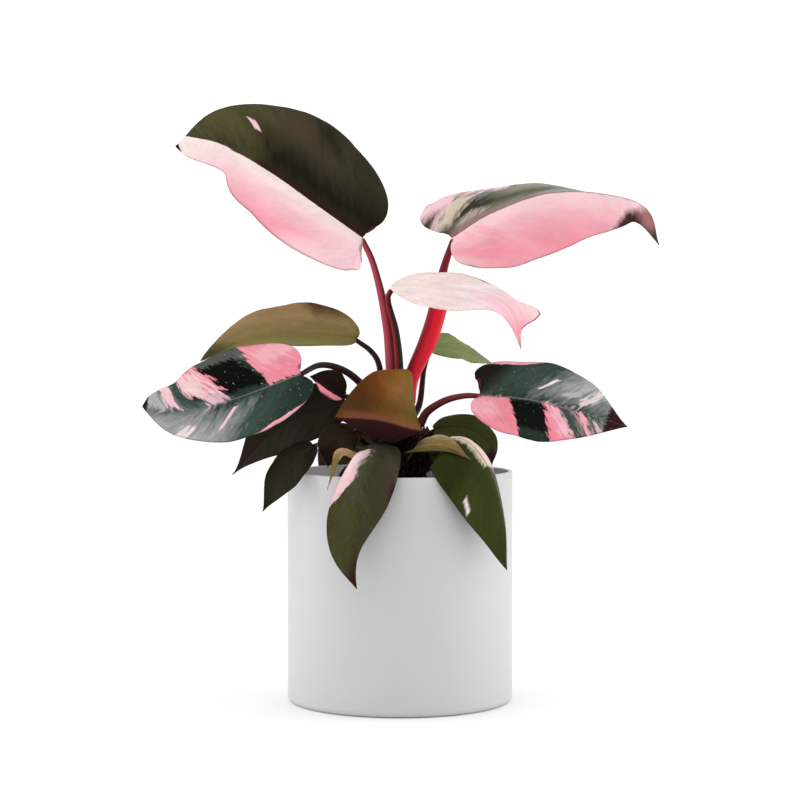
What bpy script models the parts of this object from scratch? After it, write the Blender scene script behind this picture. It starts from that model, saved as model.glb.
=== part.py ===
"""Potted pink princess philodendron: a white cylindrical pot, soil, one stem, and leaves on long stalks.

Metres, +Z up. The origin is the centre of the pot's flat underside, and -Y is the side it is seen from.
"""

import math

import bmesh
import bpy
from mathutils import Vector

MM = 0.001

# Pot
POT_RADIUS = 70 * MM
POT_HEIGHT = 143 * MM
POT_WALL = 3 * MM
POT_FLOOR = 4 * MM
POT_FOOT_ROUND = 4 * MM
POT_SIDES = 64
DRAIN_HOLES = 5
DRAIN_HOLE_RADIUS = 3.5 * MM
DRAIN_RING_RADIUS = 36 * MM

# Soil. It fills the pot and has a plain blind hole for the stem
GAP = 0.3 * MM
SOIL_TOP = 130 * MM
SOIL_LUMP = 1.5 * MM
SOIL_RINGS = 7
SOIL_SIDES = 32

# Stem: its foot is in the soil, and a ring stands out wherever a leaf grew
STEM_FOOT = 100 * MM
STEM_TOP = 184 * MM
STEM_FOOT_RADIUS = 8 * MM
STEM_TOP_RADIUS = 9.2 * MM
STEM_RING = 0.7 * MM
STEM_RING_HEIGHTS = [138 * MM, 148 * MM, 157 * MM, 166 * MM, 175 * MM]
STEM_SIDES = 16

# Leaves and stalks
BLADE_THICKNESS = 0.8 * MM
RIB_THICKNESS = 2.2 * MM
RIB_HALF_WIDTH = 1.7 * MM
BASE_NOTCH = 0.06
FULLNESS = 0.65
MARGIN_POWER = 1.9
RIB_POWER = 2.4
STALK_SIDES = 8
ROOT_RADIUS = 1.1 * MM

# Each leaf, in millimetres. "root" is where its stalk meets the stem, as an angle round it from +X and a
# height, or else the stalk stands on the stem's top at the first point of "stalk", which leads up to the
# blade. "radii" are the stalk's radii, evenly spaced from the stem to the blade. "midrib" runs from the
# blade's base to its tip. "faces" is where the blade's upper side looks, at the base and at the tip.
# "width", "widest" and "taper" are pairs, for the left half and the right half as seen along the midrib
# from the base with the upper side up: how wide the half is, where it is widest as a share of the length,
# and how far it narrows by the tip. "left" and "right" are the angle by which that half rises from the flat
# at the base and at the tip, and how much further it curls by its margin. "lobe" is how far the base
# reaches back past the stalk, as a share of the length, and "wave" is the height of the margin's waves.
# A few leaves have a "fullness" of their own, larger for a half that draws in towards the stalk, or a
# "corner", which pushes the left margin out: where along the leaf, over how much of it (half as much
# beyond the corner), and how far.
LEAVES = {
    "upper_left": dict(
        stalk=[(-5, 0, 184.3), (-5, 0, 194), (-5.5, 0, 207), (-7.5, 1, 230), (-12, 3, 254), (-17.5, 3, 274)],
        radii=(3.2, 3.4, 3.0, 2.2, 1.8),
        midrib=[(-23, 2, 288), (-50, -4, 307), (-80, -10, 328), (-107, -16, 342), (-136, -30, 342)],
        faces=[(0, -0.89, 0.46), (0, -0.8, 0.6)],
        width=(49, 46), widest=(0.24, 0.41), taper=(-0.15, 0.37), fullness=(0.4, 0.58), lobe=0.07, wave=0.5,
        left=(38, 8, 0), right=(23, 22, -8), stations=15,
    ),
    "upper_right": dict(
        stalk=[(5.5, 2.5, 184.3), (6, 2.5, 194), (8.5, 3, 204), (17.5, 4, 224), (24, 6, 246), (27, 7, 267)],
        radii=(4.2, 4.8, 5.8, 5.8, 2.6, 1.8),
        midrib=[(32, 0, 288), (56, 0, 303), (90, -2, 315), (124, -6, 315), (151, -12, 306), (159, -18, 282)],
        faces=[(0, -0.6, 0.8), (0.3, -0.5, 0.8)],
        width=(35.7, 41), widest=(0.22, 0.29), taper=(0.77, 0.75), fullness=(0.8, 0.95), lobe=0.11, wave=1.0,
        left=(11, -44, 0), right=(-6, -52, -8), stations=15,
    ),
    "young_pink": dict(
        stalk=[(-1, -6, 184.3), (-1, -6, 194), (-0.5, -6, 209), (-2.8, -5.5, 230), (-7.4, -6, 249)],
        radii=(2.7, 2.6, 2.2, 1.6),
        midrib=[(-6, -8, 257), (18, -18, 256), (46, -28, 252), (65, -38, 243), (73, -44, 219)],
        faces=[(0, -0.8, 0.6), (0.3, -0.8, 0.5)],
        width=(14, 19), widest=(0.35, 0.39), taper=(0.4, 1.1), fullness=(1, 1.25), lobe=0.0, wave=0.6,
        corner=(0.83, 0.066, 17), left=(8, -7, 0), right=(8, 16, 0), stations=20,
    ),
    "mid_left": dict(
        root=(140, 179), stalk=[(-12, 9, 192), (-13, 9, 208), (-18, 10, 217)],
        radii=(2.6, 2.0, 1.5),
        midrib=[(-27, 10, 225.5), (-57, 16, 228.5), (-92, 24, 226), (-127, 30, 211)],
        faces=[(0, -0.5, 0.85), (0, -0.5, 0.85)],
        width=(24, 23), widest=(0.35, 0.36), taper=(1.1, 0.13), fullness=(0.65, 1), lobe=0.03, wave=0.6,
        left=(12, 12, 0), right=(27, 27, 0), stations=12,
    ),
    "left_marbled": dict(
        root=(200, 176), stalk=[(-17, -7, 189), (-32, -13, 204), (-48, -22, 209)],
        radii=(2.8, 2.2, 1.5),
        midrib=[(-60, -38, 204), (-83, -42, 195), (-109, -46, 186), (-132, -50, 181), (-154, -54, 185)],
        faces=[(0, -0.85, 0.5), (0, -0.85, 0.5)],
        width=(30, 31), widest=(0.42, 0.4), taper=(0.2, -0.1), lobe=0.08, wave=1.0,
        left=(12, 12, -8), right=(20, 9, -8), stations=12,
    ),
    "small_left": dict(
        root=(215, 167), stalk=[(-18, -14, 177), (-27, -23, 188)],
        radii=(2.4, 1.4),
        midrib=[(-35, -28, 190), (-43, -30.5, 195), (-49, -33, 199.5), (-54.5, -35, 202.5)],
        faces=[(0, -0.8, 0.6), (0, -0.8, 0.6)],
        width=(7, 12), widest=(0.4, 0.4), taper=(0.9, 0.5), lobe=0.03, wave=0.4,
        left=(10, 10, 0), right=(30, 30, 0), stations=10,
    ),
    "lower_left": dict(
        root=(180, 169), stalk=[(-18, -1, 176), (-27, -3, 184)],
        radii=(2.6, 1.5),
        midrib=[(-34, -4, 186), (-56, -2, 179), (-81, 2, 165), (-105, 4, 140)],
        faces=[(0, -0.7, 0.7), (-0.3, -0.7, 0.6)],
        width=(22, 22), widest=(0.38, 0.38), taper=(0.9, 0.9), lobe=0.05, wave=1.0,
        left=(0, 0, 0), right=(10, 10, 0), stations=12,
    ),
    "small_lower_left": dict(
        root=(200, 154), stalk=[(-22, -12, 158), (-38, -22, 163)],
        radii=(2.4, 1.4),
        midrib=[(-53, -33, 161), (-60.5, -39, 155), (-72.5, -44, 140), (-83, -46, 121)],
        faces=[(-0.3, -0.8, 0.5), (-0.3, -0.8, 0.5)],
        width=(12, 11), widest=(0.42, 0.42), taper=(0.7, 0.7), lobe=0.02, wave=0.6,
        left=(0, 0, 0), right=(10, 10, 0), stations=10,
    ),
    "front_left": dict(
        root=(245, 153), stalk=[(-8, -18, 160), (-11, -24.5, 163)],
        radii=(2.8, 1.3),
        midrib=[(-12, -30, 161.5), (-16, -50, 159), (-20, -66, 151), (-25, -78, 130), (-28, -84, 104),
                (-25, -87, 79)],
        faces=[(0, -0.8, 0.7), (0, -0.8, 0.7)],
        width=(20.5, 15.8), widest=(0.4, 0.66), taper=(1.7, 0.38), fullness=(0.8, 0.85), lobe=0.02, wave=1.0,
        left=(5, 0, 0), right=(10, 13, 0), stations=12,
    ),
    "front_right": dict(
        root=(300, 155), stalk=[(12, -20, 161)],
        radii=(2.8, 1.6),
        midrib=[(18, -25, 161), (38, -47, 165), (53, -60.5, 148), (62, -62, 116), (64, -58, 87)],
        faces=[(0, -0.8, 0.6), (0, -0.9, 0.4)],
        width=(14, 33), widest=(0.35, 0.38), taper=(0.9, 0.25), fullness=(0.65, 1.7), lobe=0.02, wave=1.0,
        left=(-20, -75, 0), right=(27, 27, -47), stations=12,
    ),
    "centre_bronze": dict(
        root=(290, 166), stalk=[(8, -20, 168), (13, -27, 167)],
        radii=(2.4, 1.5),
        midrib=[(15, -33, 168), (4, -38, 171), (-14, -42, 176), (-39, -46, 178)],
        faces=[(0, -0.6, 0.8), (0, -0.6, 0.8)],
        width=(12, 35.7), widest=(0.4, 0.375), taper=(0.5, 0.15), fullness=(3.2, 2.9), lobe=0.0, wave=0.8,
        left=(-60, -60, 0), right=(41, 30, 0), stations=14,
    ),
    "right_marbled": dict(
        root=(340, 172), stalk=[(17, -8, 180), (28, -12, 187), (40, -17, 190)],
        radii=(2.8, 2.2, 1.5),
        midrib=[(49, -20, 190.5), (79, -24, 188), (107, -28, 181), (138, -34, 172)],
        faces=[(0, -0.85, 0.5), (0, -0.85, 0.5)],
        width=(28, 29.5), widest=(0.48, 0.37), taper=(0.55, 0.37), fullness=(0.35, 0.95), lobe=0.09, wave=1.2,
        left=(14, -5, -8), right=(12, 11, -8), stations=14,
    ),
    "back_right": dict(
        root=(50, 177), stalk=[(12.5, 14.5, 185), (15, 15, 205)],
        radii=(2.2, 1.4),
        midrib=[(18, 16, 219), (32, 26, 219), (48, 38, 214), (62, 50, 208)],
        faces=[(0, -0.5, 0.85), (0, -0.5, 0.85)],
        width=(17, 15), widest=(0.35, 0.35), taper=(0.9, 0.9), lobe=0.03, wave=0.6,
        left=(10, 10, 0), right=(0, 0, 0), stations=10,
    ),
    "lower_right": dict(
        root=(0, 161), stalk=[(17, -3, 165)],
        radii=(2.4, 1.5),
        midrib=[(21, -5, 169), (36, -6, 171), (49, -8, 166), (56, -10, 157), (57, -11, 146)],
        faces=[(0, -0.7, 0.7), (0.3, -0.7, 0.7)],
        width=(11.5, 15), widest=(0.45, 0.38), taper=(0.9, 0.9), lobe=0.03, wave=0.8,
        left=(0, 0, 0), right=(0, 0, 0), stations=10,
    ),
    "inner_left": dict(
        root=(222, 160), stalk=[(-16, -15, 166), (-24, -22, 169)],
        radii=(2.4, 1.5),
        midrib=[(-29, -26, 168), (-38, -32, 164), (-42, -36, 156), (-44, -38, 147)],
        faces=[(-0.2, -0.8, 0.6), (-0.2, -0.8, 0.6)],
        width=(13, 11), widest=(0.4, 0.4), taper=(0.9, 0.9), lobe=0.03, wave=0.5,
        left=(0, 0, 0), right=(10, 10, 0), stations=10,
    ),
    "back_left_low": dict(
        root=(115, 160), stalk=[(-10, 20, 165), (-14, 28, 168)],
        radii=(2.8, 1.5),
        midrib=[(-18, 36, 167), (-26, 56, 164), (-32, 72, 151), (-36, 83, 122), (-36, 86, 92)],
        faces=[(-0.2, 0.8, 0.6), (-0.2, 0.8, 0.6)],
        width=(22, 22), widest=(0.38, 0.38), taper=(0.9, 0.9), lobe=0.04, wave=1.0,
        left=(5, 5, 0), right=(5, 5, 0), stations=12,
    ),
    "back_right_low": dict(
        root=(65, 158), stalk=[(10, 19, 162), (14, 26, 164)],
        radii=(2.8, 1.5),
        midrib=[(18, 32, 163), (30, 52, 161), (40, 68, 149), (46, 80, 121), (48, 84, 96)],
        faces=[(0.2, 0.8, 0.6), (0.2, 0.8, 0.6)],
        width=(20, 20), widest=(0.38, 0.38), taper=(0.9, 0.9), lobe=0.04, wave=1.0,
        left=(5, 5, 0), right=(5, 5, 0), stations=12,
    ),
}

# The dry sheath leaves at the foot of the stem are narrow blades with no stalk
CATAPHYLLS = {
    "cataphyll_left": dict(
        root=(235, 144),
        midrib=[(-14, -24, 150), (-26, -45, 154), (-35, -58, 157), (-38, -66, 153), (-40, -72, 146),
                (-43, -77, 136)],
        faces=[(0, -0.6, 0.8), (0, -0.8, 0.5)],
        width=(6, 6), widest=(0.3, 0.3), taper=(0.9, 0.9), lobe=0, wave=0.4,
        left=(20, 10, 0), right=(20, 10, 0), stations=10,
    ),
    "cataphyll_right": dict(
        root=(280, 145),
        midrib=[(4, -18, 151), (7, -32, 158), (15, -46, 163), (28, -57, 164), (42, -66, 155)],
        faces=[(0, -0.6, 0.8), (0, -0.8, 0.5)],
        width=(7, 7), widest=(0.6, 0.6), taper=(0.9, 0.9), lobe=0, wave=0.4,
        left=(20, 10, 0), right=(20, 10, 0), stations=10,
    ),
}

# Aerial roots leave the stem at an angle and a height, and pass these points on the way down to the soil
AERIAL_ROOTS = {
    "aerial_root_left": dict(root=(212, 146), path=[(-20, -14, 150), (-33, -24, 146)], foot=(-40, -30)),
    "aerial_root_right": dict(root=(20, 150), path=[(17, 6, 151), (23, 9, 143)], foot=(26, 11)),
}


def clear_scene():
    for obj in list(bpy.data.objects):
        bpy.data.objects.remove(obj)


def make_collection(name):
    collection = bpy.data.collections.new(name)
    bpy.context.scene.collection.children.link(collection)
    return collection


def make_material(name, colour, roughness):
    material = bpy.data.materials.new(name)
    material.use_nodes = True
    shader = material.node_tree.nodes["Principled BSDF"]
    shader.inputs["Base Color"].default_value = (*colour, 1.0)
    shader.inputs["Roughness"].default_value = roughness
    return material


def add_object(name, data, collection, material):
    obj = bpy.data.objects.new(name, data)
    collection.objects.link(obj)
    data.materials.append(material)
    return obj


def mm(point):
    return Vector(point) * MM


def smooth_path(points):
    """A smooth curve through the points: a function from a share of its length to a place, and its length."""
    steps = 24
    knots = [2 * points[0] - points[1], *points, 2 * points[-1] - points[-2]]
    dense = []
    for a, b, c, d in zip(knots, knots[1:], knots[2:], knots[3:]):
        for step in range(steps):
            u = step / steps
            dense.append(0.5 * (2 * b + (c - a) * u + (2 * a - 5 * b + 4 * c - d) * u**2
                                + (3 * b - a - 3 * c + d) * u**3))
    dense.append(knots[-2])
    reach = [0.0]
    for a, b in zip(dense, dense[1:]):
        reach.append(reach[-1] + (b - a).length)

    def place(share):
        wanted = share * reach[-1]
        i = next((k for k in range(1, len(reach)) if reach[k] >= wanted), len(reach) - 1)
        return dense[i - 1].lerp(dense[i], (wanted - reach[i - 1]) / (reach[i] - reach[i - 1]))

    return place, reach[-1]


def turned(name, profile, sides, collection, material):
    """A turned solid from (radius, height) points that run down its outer side."""
    mesh = bpy.data.meshes.new(name)
    bm = bmesh.new()
    corners = [bm.verts.new((radius, 0, height)) for radius, height in profile]
    for a, b in zip(corners, corners[1:]):
        bm.edges.new((a, b))
    bm.to_mesh(mesh)
    bm.free()
    obj = add_object(name, mesh, collection, material)
    screw = obj.modifiers.new("Screw", "SCREW")
    screw.steps = screw.render_steps = sides
    screw.use_merge_vertices = True
    screw.merge_threshold = 0.01 * MM
    screw.use_smooth_shade = True
    return obj


def apply_modifiers(obj):
    """The object's mesh as its modifiers make it, in place of the mesh that it started from."""
    bpy.context.view_layer.update()
    evaluated = obj.evaluated_get(bpy.context.evaluated_depsgraph_get())
    obj.data = bpy.data.meshes.new_from_object(evaluated)
    obj.modifiers.clear()


# Pot


def make_pot(collection, cutters, material):
    inside = POT_RADIUS - POT_WALL
    profile = [(0, POT_FLOOR), (inside - 3 * MM, POT_FLOOR), (inside - 0.9 * MM, POT_FLOOR + 0.9 * MM),
               (inside, POT_FLOOR + 3 * MM), (inside, POT_HEIGHT - 0.8 * MM),
               (inside + 0.8 * MM, POT_HEIGHT), (POT_RADIUS - 0.8 * MM, POT_HEIGHT),
               (POT_RADIUS, POT_HEIGHT - 0.8 * MM), (POT_RADIUS, 2 * POT_FOOT_ROUND)]
    for step in range(5):
        turn = math.radians(90 * step / 4)
        profile.append((POT_RADIUS - POT_FOOT_ROUND * (1 - math.cos(turn)),
                        POT_FOOT_ROUND * (1 - math.sin(turn))))
    profile.append((0, 0))
    pot = turned("pot", profile, POT_SIDES, collection, material)
    for i in range(DRAIN_HOLES):
        turn = math.tau * i / DRAIN_HOLES
        bpy.ops.mesh.primitive_cylinder_add(
            vertices=16, radius=DRAIN_HOLE_RADIUS, depth=4 * POT_FLOOR,
            location=(DRAIN_RING_RADIUS * math.cos(turn), DRAIN_RING_RADIUS * math.sin(turn), 0))
        cutter = bpy.context.active_object
        cutter.name = f"drain_cutter_{i + 1}"
        for home in list(cutter.users_collection):
            home.objects.unlink(cutter)
        cutters.objects.link(cutter)
        cutter.hide_render = True
        cutter.display_type = "WIRE"
        cut = pot.modifiers.new(cutter.name, "BOOLEAN")
        cut.object = cutter
        cut.operation = "DIFFERENCE"
    return pot


# Soil


def soil_height(x, y):
    """The top of the soil: low lumps, and a slight rise towards the stem."""
    lumps = (math.sin(x / (7.1 * MM) + 0.6) * math.cos(y / (8.3 * MM) - 0.4)
             + 0.6 * math.sin(x / (4.3 * MM) - y / (5.7 * MM)))
    rise = 2 * MM * max(0, 1 - math.hypot(x, y) / (50 * MM))
    return SOIL_TOP + rise + SOIL_LUMP * lumps / 1.6


def make_soil(collection, material):
    hole = STEM_FOOT_RADIUS + GAP
    outside = POT_RADIUS - POT_WALL - GAP
    profile = [(0, STEM_FOOT - GAP), (hole, STEM_FOOT - GAP)]
    for ring in range(SOIL_RINGS + 1):
        profile.append((hole + (outside - hole) * ring / SOIL_RINGS, SOIL_TOP))
    profile += [(outside, POT_FLOOR + 4 * MM), (outside - 3 * MM, POT_FLOOR + GAP), (0, POT_FLOOR + GAP)]
    soil = turned("soil", profile, SOIL_SIDES, collection, material)
    apply_modifiers(soil)
    for vertex in soil.data.vertices:
        if vertex.co.z > SOIL_TOP - MM:
            vertex.co.z = soil_height(vertex.co.x, vertex.co.y)
    bm = bmesh.new()
    bm.from_mesh(soil.data)
    bmesh.ops.triangulate(bm, faces=bm.faces)
    bm.to_mesh(soil.data)
    bm.free()
    soil.data.set_sharp_from_angle(angle=math.radians(50))
    return soil


# Stem


def stem_profile():
    """(height, radius) pairs from the foot to the top, with a ring wherever a leaf grew."""
    def plain(height):
        share = max(0, (height - SOIL_TOP) / (STEM_TOP - SOIL_TOP))
        return STEM_FOOT_RADIUS + (STEM_TOP_RADIUS - STEM_FOOT_RADIUS) * share

    pairs = [(STEM_FOOT, STEM_FOOT_RADIUS - 1 * MM), (STEM_FOOT + 1 * MM, STEM_FOOT_RADIUS),
             (SOIL_TOP + 4 * MM, plain(SOIL_TOP))]
    for height in STEM_RING_HEIGHTS:
        pairs += [(height - 1.2 * MM, plain(height)), (height, plain(height) + STEM_RING),
                  (height + 1.2 * MM, plain(height))]
    return pairs + [(STEM_TOP - 1 * MM, STEM_TOP_RADIUS), (STEM_TOP, STEM_TOP_RADIUS - 1 * MM)]


def stem_radius(height):
    pairs = stem_profile()
    for (low, r0), (high, r1) in zip(pairs, pairs[1:]):
        if low <= height <= high:
            return r0 + (r1 - r0) * (height - low) / (high - low)
    return STEM_TOP_RADIUS


def make_stem(collection, material):
    pairs = stem_profile()
    profile = [(0, pairs[-1][0])] + [(radius, height) for height, radius in reversed(pairs)]
    return turned("stem", profile + [(0, pairs[0][0])], STEM_SIDES, collection, material)


def stem_seat(angle, height):
    """Where a stalk or root meets the stem or its nearest ring, and the way straight out of it."""
    out = Vector((math.cos(math.radians(angle)), math.sin(math.radians(angle)), 0))
    radius = max(stem_radius(height + step * MM) for step in (-2.4, -1.2, 0, 1.2, 2.4))
    return out * (radius + 2 * GAP) + Vector((0, 0, height)), out


# Stalks and roots


def tube(name, points, radii, collection, material, rings=10):
    """A solid stalk along a smooth curve through the points, with its radii spaced evenly along it."""
    place, _ = smooth_path(points)
    curve = bpy.data.curves.new(name, "CURVE")
    curve.dimensions = "3D"
    curve.bevel_depth = 1.0
    curve.bevel_resolution = STALK_SIDES // 2 - 2
    curve.use_fill_caps = True
    spline = curve.splines.new("POLY")
    spline.points.add(rings - 1)
    for i, point in enumerate(spline.points):
        even = i / (rings - 1)
        share = even - 0.6 * math.sin(math.tau * even) / math.tau
        point.co = (*place(share), 1.0)
        before = min(int(share * (len(radii) - 1)), len(radii) - 2)
        part = share * (len(radii) - 1) - before
        point.radius = radii[before] * (1 - part) + radii[before + 1] * part
    spline.use_smooth = True
    return add_object(name, curve, collection, material)


def stalk_points(leaf):
    """The stalk's way from the stem to the blade, whose raised midrib it meets end to end."""
    points = [mm(p) for p in leaf["stalk"]]
    if "root" in leaf:
        seat, out = stem_seat(leaf["root"][0], leaf["root"][1] * MM)
        points = [seat, seat + out * 4 * MM] + points
    along, upper, _ = leaf_frame(leaf)(0)
    base = mm(leaf["midrib"][0]) - upper * RIB_THICKNESS / 2
    tilt = (base - points[-1]).normalized().angle(along)
    return points + [base - along * (GAP + leaf["radii"][-1] * MM * math.sin(tilt))]


def make_stalk(name, leaf, collection, material):
    radii = [radius * MM for radius in leaf["radii"]]
    return tube("stalk_" + name, stalk_points(leaf), radii, collection, material)


def make_root(name, root, collection, material):
    seat, out = stem_seat(root["root"][0], root["root"][1] * MM)
    x, y = (value * MM for value in root["foot"])
    foot = Vector((x, y, soil_height(x, y) + 2 * GAP))
    points = [seat, seat + out * 3 * MM] + [mm(p) for p in root["path"]]
    points += [foot + Vector((0, 0, 4 * MM)), foot]
    return tube(name, points, (1.2 * ROOT_RADIUS, 0.8 * ROOT_RADIUS), collection, material)


# Leaves


def leaf_frame(leaf):
    """For a distance along the midrib: its direction, the way the upper side looks, and the right hand."""
    place, length = leaf_spine(leaf)
    first, last = (Vector(face) for face in leaf["faces"])

    def frame(along):
        step = 0.01 * length
        here = min(max(along, step), length - step)
        forward = (place(here + step) - place(here - step)).normalized()
        looks = first.lerp(last, min(max(along / length, 0), 1))
        upper = (looks - forward * looks.dot(forward)).normalized()
        return forward, upper, forward.cross(upper)

    return frame


def leaf_spine(leaf):
    """The midrib as a function of the distance along it, going on straight behind the base."""
    place, length = smooth_path([mm(p) for p in leaf["midrib"]])

    def spine(along):
        if along < 0:
            return place(0) + (place(0.02) - place(0)) * along / (0.02 * length)
        return place(min(along / length, 1))

    return spine, length


def leaf_point(leaf):
    """A function that bends the flat leaf into its place in space."""
    spine, length = leaf_spine(leaf)
    frame = leaf_frame(leaf)

    def bend(along, across):
        forward, upper, right = frame(along)
        side = 1 if across > 0 else 0
        first, last, curl = (math.radians(angle) for angle in (leaf["left"], leaf["right"])[side])
        width = leaf["width"][side] * MM
        share = min(max(along / length, 0), 1)
        rise = first + (last - first) * share**0.6
        reach = abs(across)
        if abs(curl) > 0.01:
            out = width / curl * (math.sin(rise + curl * reach / width) - math.sin(rise))
            up = width / curl * (math.cos(rise) - math.cos(rise + curl * reach / width))
        else:
            out, up = reach * math.cos(rise), reach * math.sin(rise)
        up += leaf["wave"] * MM * (reach / width)**2 * math.sin(math.tau * (3 * along / length + 0.3 * side))
        return spine(along) + right * math.copysign(out, across) + upper * up

    return bend


def flat_outline(leaf, length):
    """A function that spreads a strip over the flat leaf: station 0 to 1 along it, row -3 to 3 across it."""
    lobe = leaf["lobe"] * length
    notch = math.asin(BASE_NOTCH)
    middle = (math.pi / 2 - notch) / (math.pi - notch)

    def spread(station, row):
        side = 1 if row > 0 else 0
        power = MARGIN_POWER * math.log(middle) / math.log(leaf["widest"][side])
        turn = notch + (math.pi - notch) * station**power
        if turn < math.pi / 2:
            full = leaf.get("fullness", (FULLNESS, FULLNESS))[side]
        else:
            full = FULLNESS + leaf["taper"][side] * station**3
        margin_across = leaf["width"][side] * MM * max(0, math.sin(turn))**full
        margin_along = length * station**MARGIN_POWER - lobe * math.sin(math.pi * min(2 * station, 1))**0.7
        if "corner" in leaf and side == 0:
            where, reach, height = leaf["corner"]
            beyond = margin_along / length - where
            bump = math.exp(-(beyond / (0.5 * reach if beyond > 0 else reach))**2)
            margin_across += height * MM * bump * (1 - station**20)
        if margin_across < 1e-6:
            return length, 0
        rib_along = length * station**RIB_POWER
        rib = min(RIB_HALF_WIDTH, 0.35 * margin_across)
        across = (0, rib, 0.55 * margin_across + 0.45 * rib, margin_across)[abs(row)]
        share = max(0, (across - rib) / (margin_across - rib))
        return rib_along + (margin_along - rib_along) * share**1.2, math.copysign(across, row)

    return spread


def make_blade(name, leaf, collection, material):
    _, length = leaf_spine(leaf)
    spread, bend = flat_outline(leaf, length), leaf_point(leaf)
    mesh = bpy.data.meshes.new(name)
    bm = bmesh.new()
    bmesh.ops.create_grid(bm, x_segments=leaf["stations"], y_segments=6, size=1)
    weight = bm.verts.layers.deform.verify()
    for vertex in bm.verts:
        station = (vertex.co.x + 1) / 2
        row = -round(3 * vertex.co.y)
        vertex.co = bend(*spread(station, row))
        vertex[weight][0] = 1 - 0.9 * station if row == 0 else 0
    bmesh.ops.remove_doubles(bm, verts=bm.verts, dist=0.01 * MM)
    bmesh.ops.triangulate(bm, faces=bm.faces)
    bm.to_mesh(mesh)
    bm.free()
    obj = add_object(name, mesh, collection, material)
    obj.vertex_groups.new(name="midrib")
    solid = obj.modifiers.new("Solidify", "SOLIDIFY")
    solid.thickness = RIB_THICKNESS
    solid.offset = -1
    solid.vertex_group = "midrib"
    solid.thickness_vertex_group = BLADE_THICKNESS / RIB_THICKNESS
    mesh.shade_smooth()
    return obj


def main():
    clear_scene()
    plant = make_collection("pink_princess_philodendron")
    cutters = make_collection("cutters")

    white = make_material("pot_white", (0.78, 0.78, 0.79), 0.45)
    earth = make_material("potting_mix", (0.05, 0.032, 0.022), 0.95)
    green_stem = make_material("stem_green_brown", (0.13, 0.12, 0.05), 0.6)
    red = make_material("stalk_red", (0.35, 0.02, 0.05), 0.4)
    dark_red = make_material("stalk_dark_red", (0.12, 0.015, 0.03), 0.4)
    dark = make_material("leaf_dark_green", (0.045, 0.055, 0.03), 0.35)
    bronze = make_material("leaf_bronze", (0.2, 0.14, 0.05), 0.4)
    olive = make_material("leaf_olive", (0.11, 0.13, 0.05), 0.4)
    pink = make_material("leaf_pink", (0.85, 0.42, 0.47), 0.4)
    tan = make_material("sheath_tan", (0.35, 0.25, 0.13), 0.7)
    root = make_material("root_brown", (0.16, 0.1, 0.06), 0.8)

    make_pot(plant, cutters, white)
    make_soil(plant, earth)
    make_stem(plant, green_stem)
    blades = {"young_pink": pink, "mid_left": bronze, "centre_bronze": bronze, "back_right": olive,
              "lower_right": olive, "front_left": olive, "front_right": olive}
    for name, leaf in LEAVES.items():
        make_stalk(name, leaf, plant, red if name.startswith("upper") else dark_red)
        make_blade("leaf_" + name, leaf, plant, blades.get(name, dark))
    for name, leaf in CATAPHYLLS.items():
        seat, out = stem_seat(leaf["root"][0], leaf["root"][1] * MM)
        start = [tuple(seat / MM), tuple(seat / MM + out * 4 + Vector((0, 0, 2)))]
        make_blade(name, {**leaf, "midrib": start + leaf["midrib"]}, plant, tan)
    for name, item in AERIAL_ROOTS.items():
        make_root(name, item, plant, root)


main()
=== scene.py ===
import math
import random

import bmesh
import bpy
from mathutils import Matrix, Vector, noise


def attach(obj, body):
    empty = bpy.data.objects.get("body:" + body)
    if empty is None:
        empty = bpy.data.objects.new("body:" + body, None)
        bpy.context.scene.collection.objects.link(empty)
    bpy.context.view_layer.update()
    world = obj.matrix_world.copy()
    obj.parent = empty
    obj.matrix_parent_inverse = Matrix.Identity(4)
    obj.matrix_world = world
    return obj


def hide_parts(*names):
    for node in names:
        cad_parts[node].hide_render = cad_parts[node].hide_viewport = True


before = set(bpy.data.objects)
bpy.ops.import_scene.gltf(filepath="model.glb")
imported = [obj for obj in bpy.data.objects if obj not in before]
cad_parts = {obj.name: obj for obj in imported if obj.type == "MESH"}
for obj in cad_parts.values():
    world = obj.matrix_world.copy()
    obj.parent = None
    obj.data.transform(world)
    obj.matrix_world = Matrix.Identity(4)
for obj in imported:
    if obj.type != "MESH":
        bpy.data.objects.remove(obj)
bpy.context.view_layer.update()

mm = 0.001
random.seed(14)
noise.seed_set(14)  # for the dents of the bark chips and perlite
print("frame loaded,", len(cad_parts), "nodes")

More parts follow.
